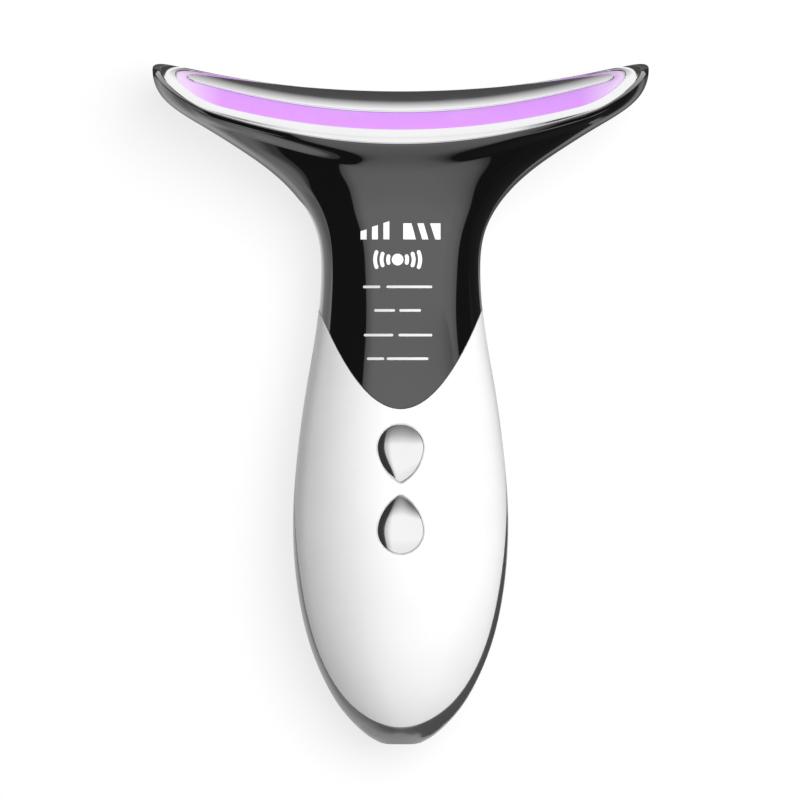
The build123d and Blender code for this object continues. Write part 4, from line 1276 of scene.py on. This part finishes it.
def seen_by(tree, kinds):
    """One where a camera ray or a ray of one of the kinds asks, else nought."""
    path = tree.nodes.new("ShaderNodeLightPath")
    total = path.outputs["Is Camera Ray"]
    for kind in kinds:
        greater = tree.nodes.new("ShaderNodeMath")
        greater.operation = "MAXIMUM"
        tree.links.new(total, greater.inputs[0])
        tree.links.new(path.outputs[kind], greater.inputs[1])
        total = greater.outputs["Value"]
    return total


def matt_stage(name, **values):
    """A finish without gloss, which glows white at the strength that its nodes or values give."""
    return Finish(name, Roughness=1.0, Specular_IOR_Level=0.0, Emission_Color=white, **values)


def floor_material():
    """The floor: near white where it is seen, but for the object's shadow, and grey where it lights the
    object. To the camera it passes into plain white with the distance from the middle."""
    finish = matt_stage("floor")
    seen = seen_by(finish.tree, through_rays)
    distance = finish.add("VectorMath", Vector=finish.place)
    distance.operation = "LENGTH"
    span = {"From_Min": floor_whitens_from, "From_Max": floor_white_from}
    far = finish.add("MapRange", Value=distance.outputs["Value"], **span)
    far.interpolation_type = "SMOOTHSTEP"
    whitening = finish.math("MULTIPLY", far.outputs["Result"], seen_by(finish.tree, ()))
    for socket, unseen, near, plain in (
        ("Base Color", floor_bounce, floor_lit, 0.0),
        ("Emission Strength", 0.0, 1 - floor_lit, 1.0),
    ):
        mix = finish.add("Mix", Factor=whitening, A=finish.ramp(seen, unseen, near), B=plain)
        finish.link(mix.outputs["Result"], socket)
    return finish.material


def card_material(name, axis, covers, bend):
    """Black card that covers as much as its stops along an axis say; each stop is a place and a cover. A
    bend carries the stops back by its product with the square of the place across."""
    low, high = covers[0][0], covers[-1][0]
    finish = matt_stage(name, Base_Color=card_black, Emission_Strength=card_grey)
    parts = finish.add("SeparateXYZ", Vector=finish.place).outputs
    square = finish.math("MULTIPLY", parts["X"], parts["X"])
    place = finish.math("MULTIPLY_ADD", square, bend, parts[axis])
    ramp = finish.add("ValToRGB", Fac=finish.ramp(place, 0.0, 1.0, low, high))
    stops = ramp.color_ramp.elements
    stops[0].position, stops[1].position = 0.0, 1.0
    for _ in covers[2:]:
        stops.new(0.5)
    for stop, (position, cover) in zip(stops, covers):
        stop.position = (position - low) / (high - low)
        stop.color = (cover, cover, cover, 1)
    finish.link(ramp.outputs["Color"], "Alpha")
    return finish.material


def card(name, corners, axis, covers, bend=0.0):
    """A card that only reflections show."""
    thing = sheet(name, corners, card_material(name, axis, covers, bend))
    thing.visible_camera = False
    thing.visible_diffuse = False
    thing.visible_shadow = False
    return thing


def side_card(name, x, covers):
    """An upright card beside the object, as tall as its last stop."""
    low, high = covers[0][0], covers[-1][0]
    corners = [(x, -card_reach, low), (x, card_reach, low), (x, card_reach, high), (x, -card_reach, high)]
    card(name, corners, "Z", covers)


def end_card(name, y, covers):
    """An upright card before or behind the object, as tall as its last stop."""
    low, high = covers[0][0], covers[-1][0]
    corners = [(-card_reach, y, low), (card_reach, y, low), (card_reach, y, high), (-card_reach, y, high)]
    card(name, corners, "Z", covers)


def floor_card(name, left, right, near, far, axis, covers, bend=0.0):
    """A card that lies on the floor."""
    corners = [(left, near, 0), (right, near, 0), (right, far, 0), (left, far, 0)]
    return card(name, corners, axis, covers, bend)


def flare_card(name, side, covers, near, far):
    """A floor card of painted shade whose stops run square to the head's flare, out from its outline."""
    thing = floor_card(name, covers[0][0], covers[-1][0], near, far, "X", covers)
    thing.location = (side * flare_place[0], flare_place[1], 0)
    thing.rotation_euler = (0, 0, -math.pi / 2 + side * flare_turn)


def lift_floor_cards():
    """Sets the cards on the floor at heights of their own, so that none lies in another."""
    cards = [thing for thing in bpy.data.objects if thing.name.endswith(("floor_card", "flare_card"))]
    for number, thing in enumerate(cards):
        thing.location.z = number * card_lift


def studio_world():
    """A world that is white where it is seen and gives a dim even fill elsewhere."""
    world = bpy.data.worlds.new("studio")
    bpy.context.scene.world = world
    world.use_nodes = True
    tree = world.node_tree
    background = tree.nodes["Background"]
    background.inputs["Color"].default_value = white
    level = tree.nodes.new("ShaderNodeMapRange")
    tree.links.new(seen_by(tree, through_rays), level.inputs["Value"])
    level.inputs["To Min"].default_value = world_fill
    level.inputs["To Max"].default_value = 1.0
    tree.links.new(level.outputs["Result"], background.inputs["Strength"])


def area_lamp(name, place, aim, size, power):
    """A square soft lamp turned to a point, which mirrors don't show."""
    light = bpy.data.lights.new(name, "AREA")
    light.shape = "SQUARE"
    light.size = size
    light.energy = power
    lamp = bpy.data.objects.new(name, light)
    bpy.context.scene.collection.objects.link(lamp)
    lamp.location = place
    lamp.rotation_euler = (Vector(aim) - Vector(place)).to_track_quat("-Z", "Y").to_euler()
    lamp.visible_glossy = False


corner_signs = ((-1, -1), (1, -1), (1, 1), (-1, 1))
floor_corners = [(x * floor_reach, y * floor_reach, -floor_drop) for x, y in corner_signs]
sheet("floor", floor_corners, floor_material())
studio_world()
area_lamp("key", (0.46, 0.3, 1.42), (0, 0, 0), 1.0, 28)

# Each card's stops are pairs of a place in metres and a cover.
card_reach = 3.0
card_black = (0.01, 0.01, 0.01, 1)
card_grey = 0.03
card_lift = 0.00002
neck_top = 0.037
flare_turn = math.radians(38)
flare_place = (0.024, 0.048)
tip_near, tip_far = 0.0515, 0.12

left_stops = ((0.0, 1.0), (0.40, 1.0), (0.41, 0.45), (0.52, 0.1), (0.6, 0.0))
right_stops = ((0.0, 1.0), (0.141, 1.0), (0.146, 0.42), (0.2, 0.15), (0.32, 0.0))
front_stops = ((0.0, 0.95), (0.105, 0.92), (0.32, 0.42), (0.56, 0.25), (0.84, 0.13), (1.7, 0.0))
back_stops = ((0.55, 0.95), (0.79, 0.9), (1.08, 0.66), (1.56, 0.34), (2.3, 0.06), (3.0, 0.0))
side_card("left_card", -0.35, left_stops)
side_card("right_card", 0.35, right_stops)
end_card("front_card", -1.2, front_stops)
end_card("back_card", 1.0, back_stops)

left_floor_stops = (
    (-0.3, 0.8),
    (-0.175, 0.5),
    (-0.125, 0.34),
    (-0.055, 0.32),
    (-0.015, 0.4),
    (0.015, 0.36),
    (neck_top, 0.12),
)
floor_card("left_floor_card", -card_reach, -0.04, -card_reach, neck_top, "Y", left_floor_stops)
floor_card("right_floor_card", 0.0315, card_reach, -card_reach, neck_top, "X", ((0.0, 1.0), (0.35, 1.0)))
front_corners = [(0.014, -0.1, 0), (0.0315, -0.14, 0), (0.0315, -0.035, 0), (0.022, -0.07, 0)]
card("front_floor_card", front_corners, "X", ((0.0, 0.95), (0.05, 1.0)))
# Painted shade: dark sheets on the floor round the head's flares, seen only in reflections, which darken the
# floor that the black head mirrors at its edges.
left_flare_shade_stops = ((0.0, 0.86), (0.006, 0.8), (0.013, 0.55), (0.019, 0.32), (0.024, 0.2), (0.2, 0.2))
flare_card("left_flare_card", -1, left_flare_shade_stops, -0.1, 0.0)
right_flare_shade_stops = ((0.0, 0.92), (0.012, 0.92), (0.016, 0.65), (0.03, 0.65), (0.034, 0.98), (0.4, 0.98))
flare_card("right_flare_card", 1, right_flare_shade_stops, -0.03, 0.3)
for left, right in ((-tip_far, -tip_near), (tip_near, tip_far)):
    floor_card("tip_card", left, right, 0.075, 0.16, "X", ((-tip_far, 0.98), (tip_far, 0.98)))
# Painted shadow: a dark sheet on the floor just behind the head, seen only in reflections, where the face's
# metal mirrors the floor in the head's shade.
rear_shadow_stops = ((0.072, 0.98), (0.0885, 0.96), (0.091, 0.75), (0.095, 0.48), (0.099, 0.25), (0.104, 0.0))
floor_card("rear_floor_card", -0.05, 0.05, rear_shadow_stops[0][0], rear_shadow_stops[-1][0], "Y", rear_shadow_stops, 3.0)
lift_floor_cards()

# ------------------------------------------------------------------ camera
camera_place = (-0.00015, 0.00088, 2.081)
camera_data = bpy.data.cameras.new("camera")
camera_data.lens = 400
camera_data.sensor_width = 36
camera_data.clip_start = 0.1
camera_data.clip_end = 50
camera = bpy.data.objects.new("camera", camera_data)
bpy.context.scene.collection.objects.link(camera)
camera.location = camera_place
bpy.context.scene.camera = camera
bpy.context.scene.view_settings.view_transform = "Standard"
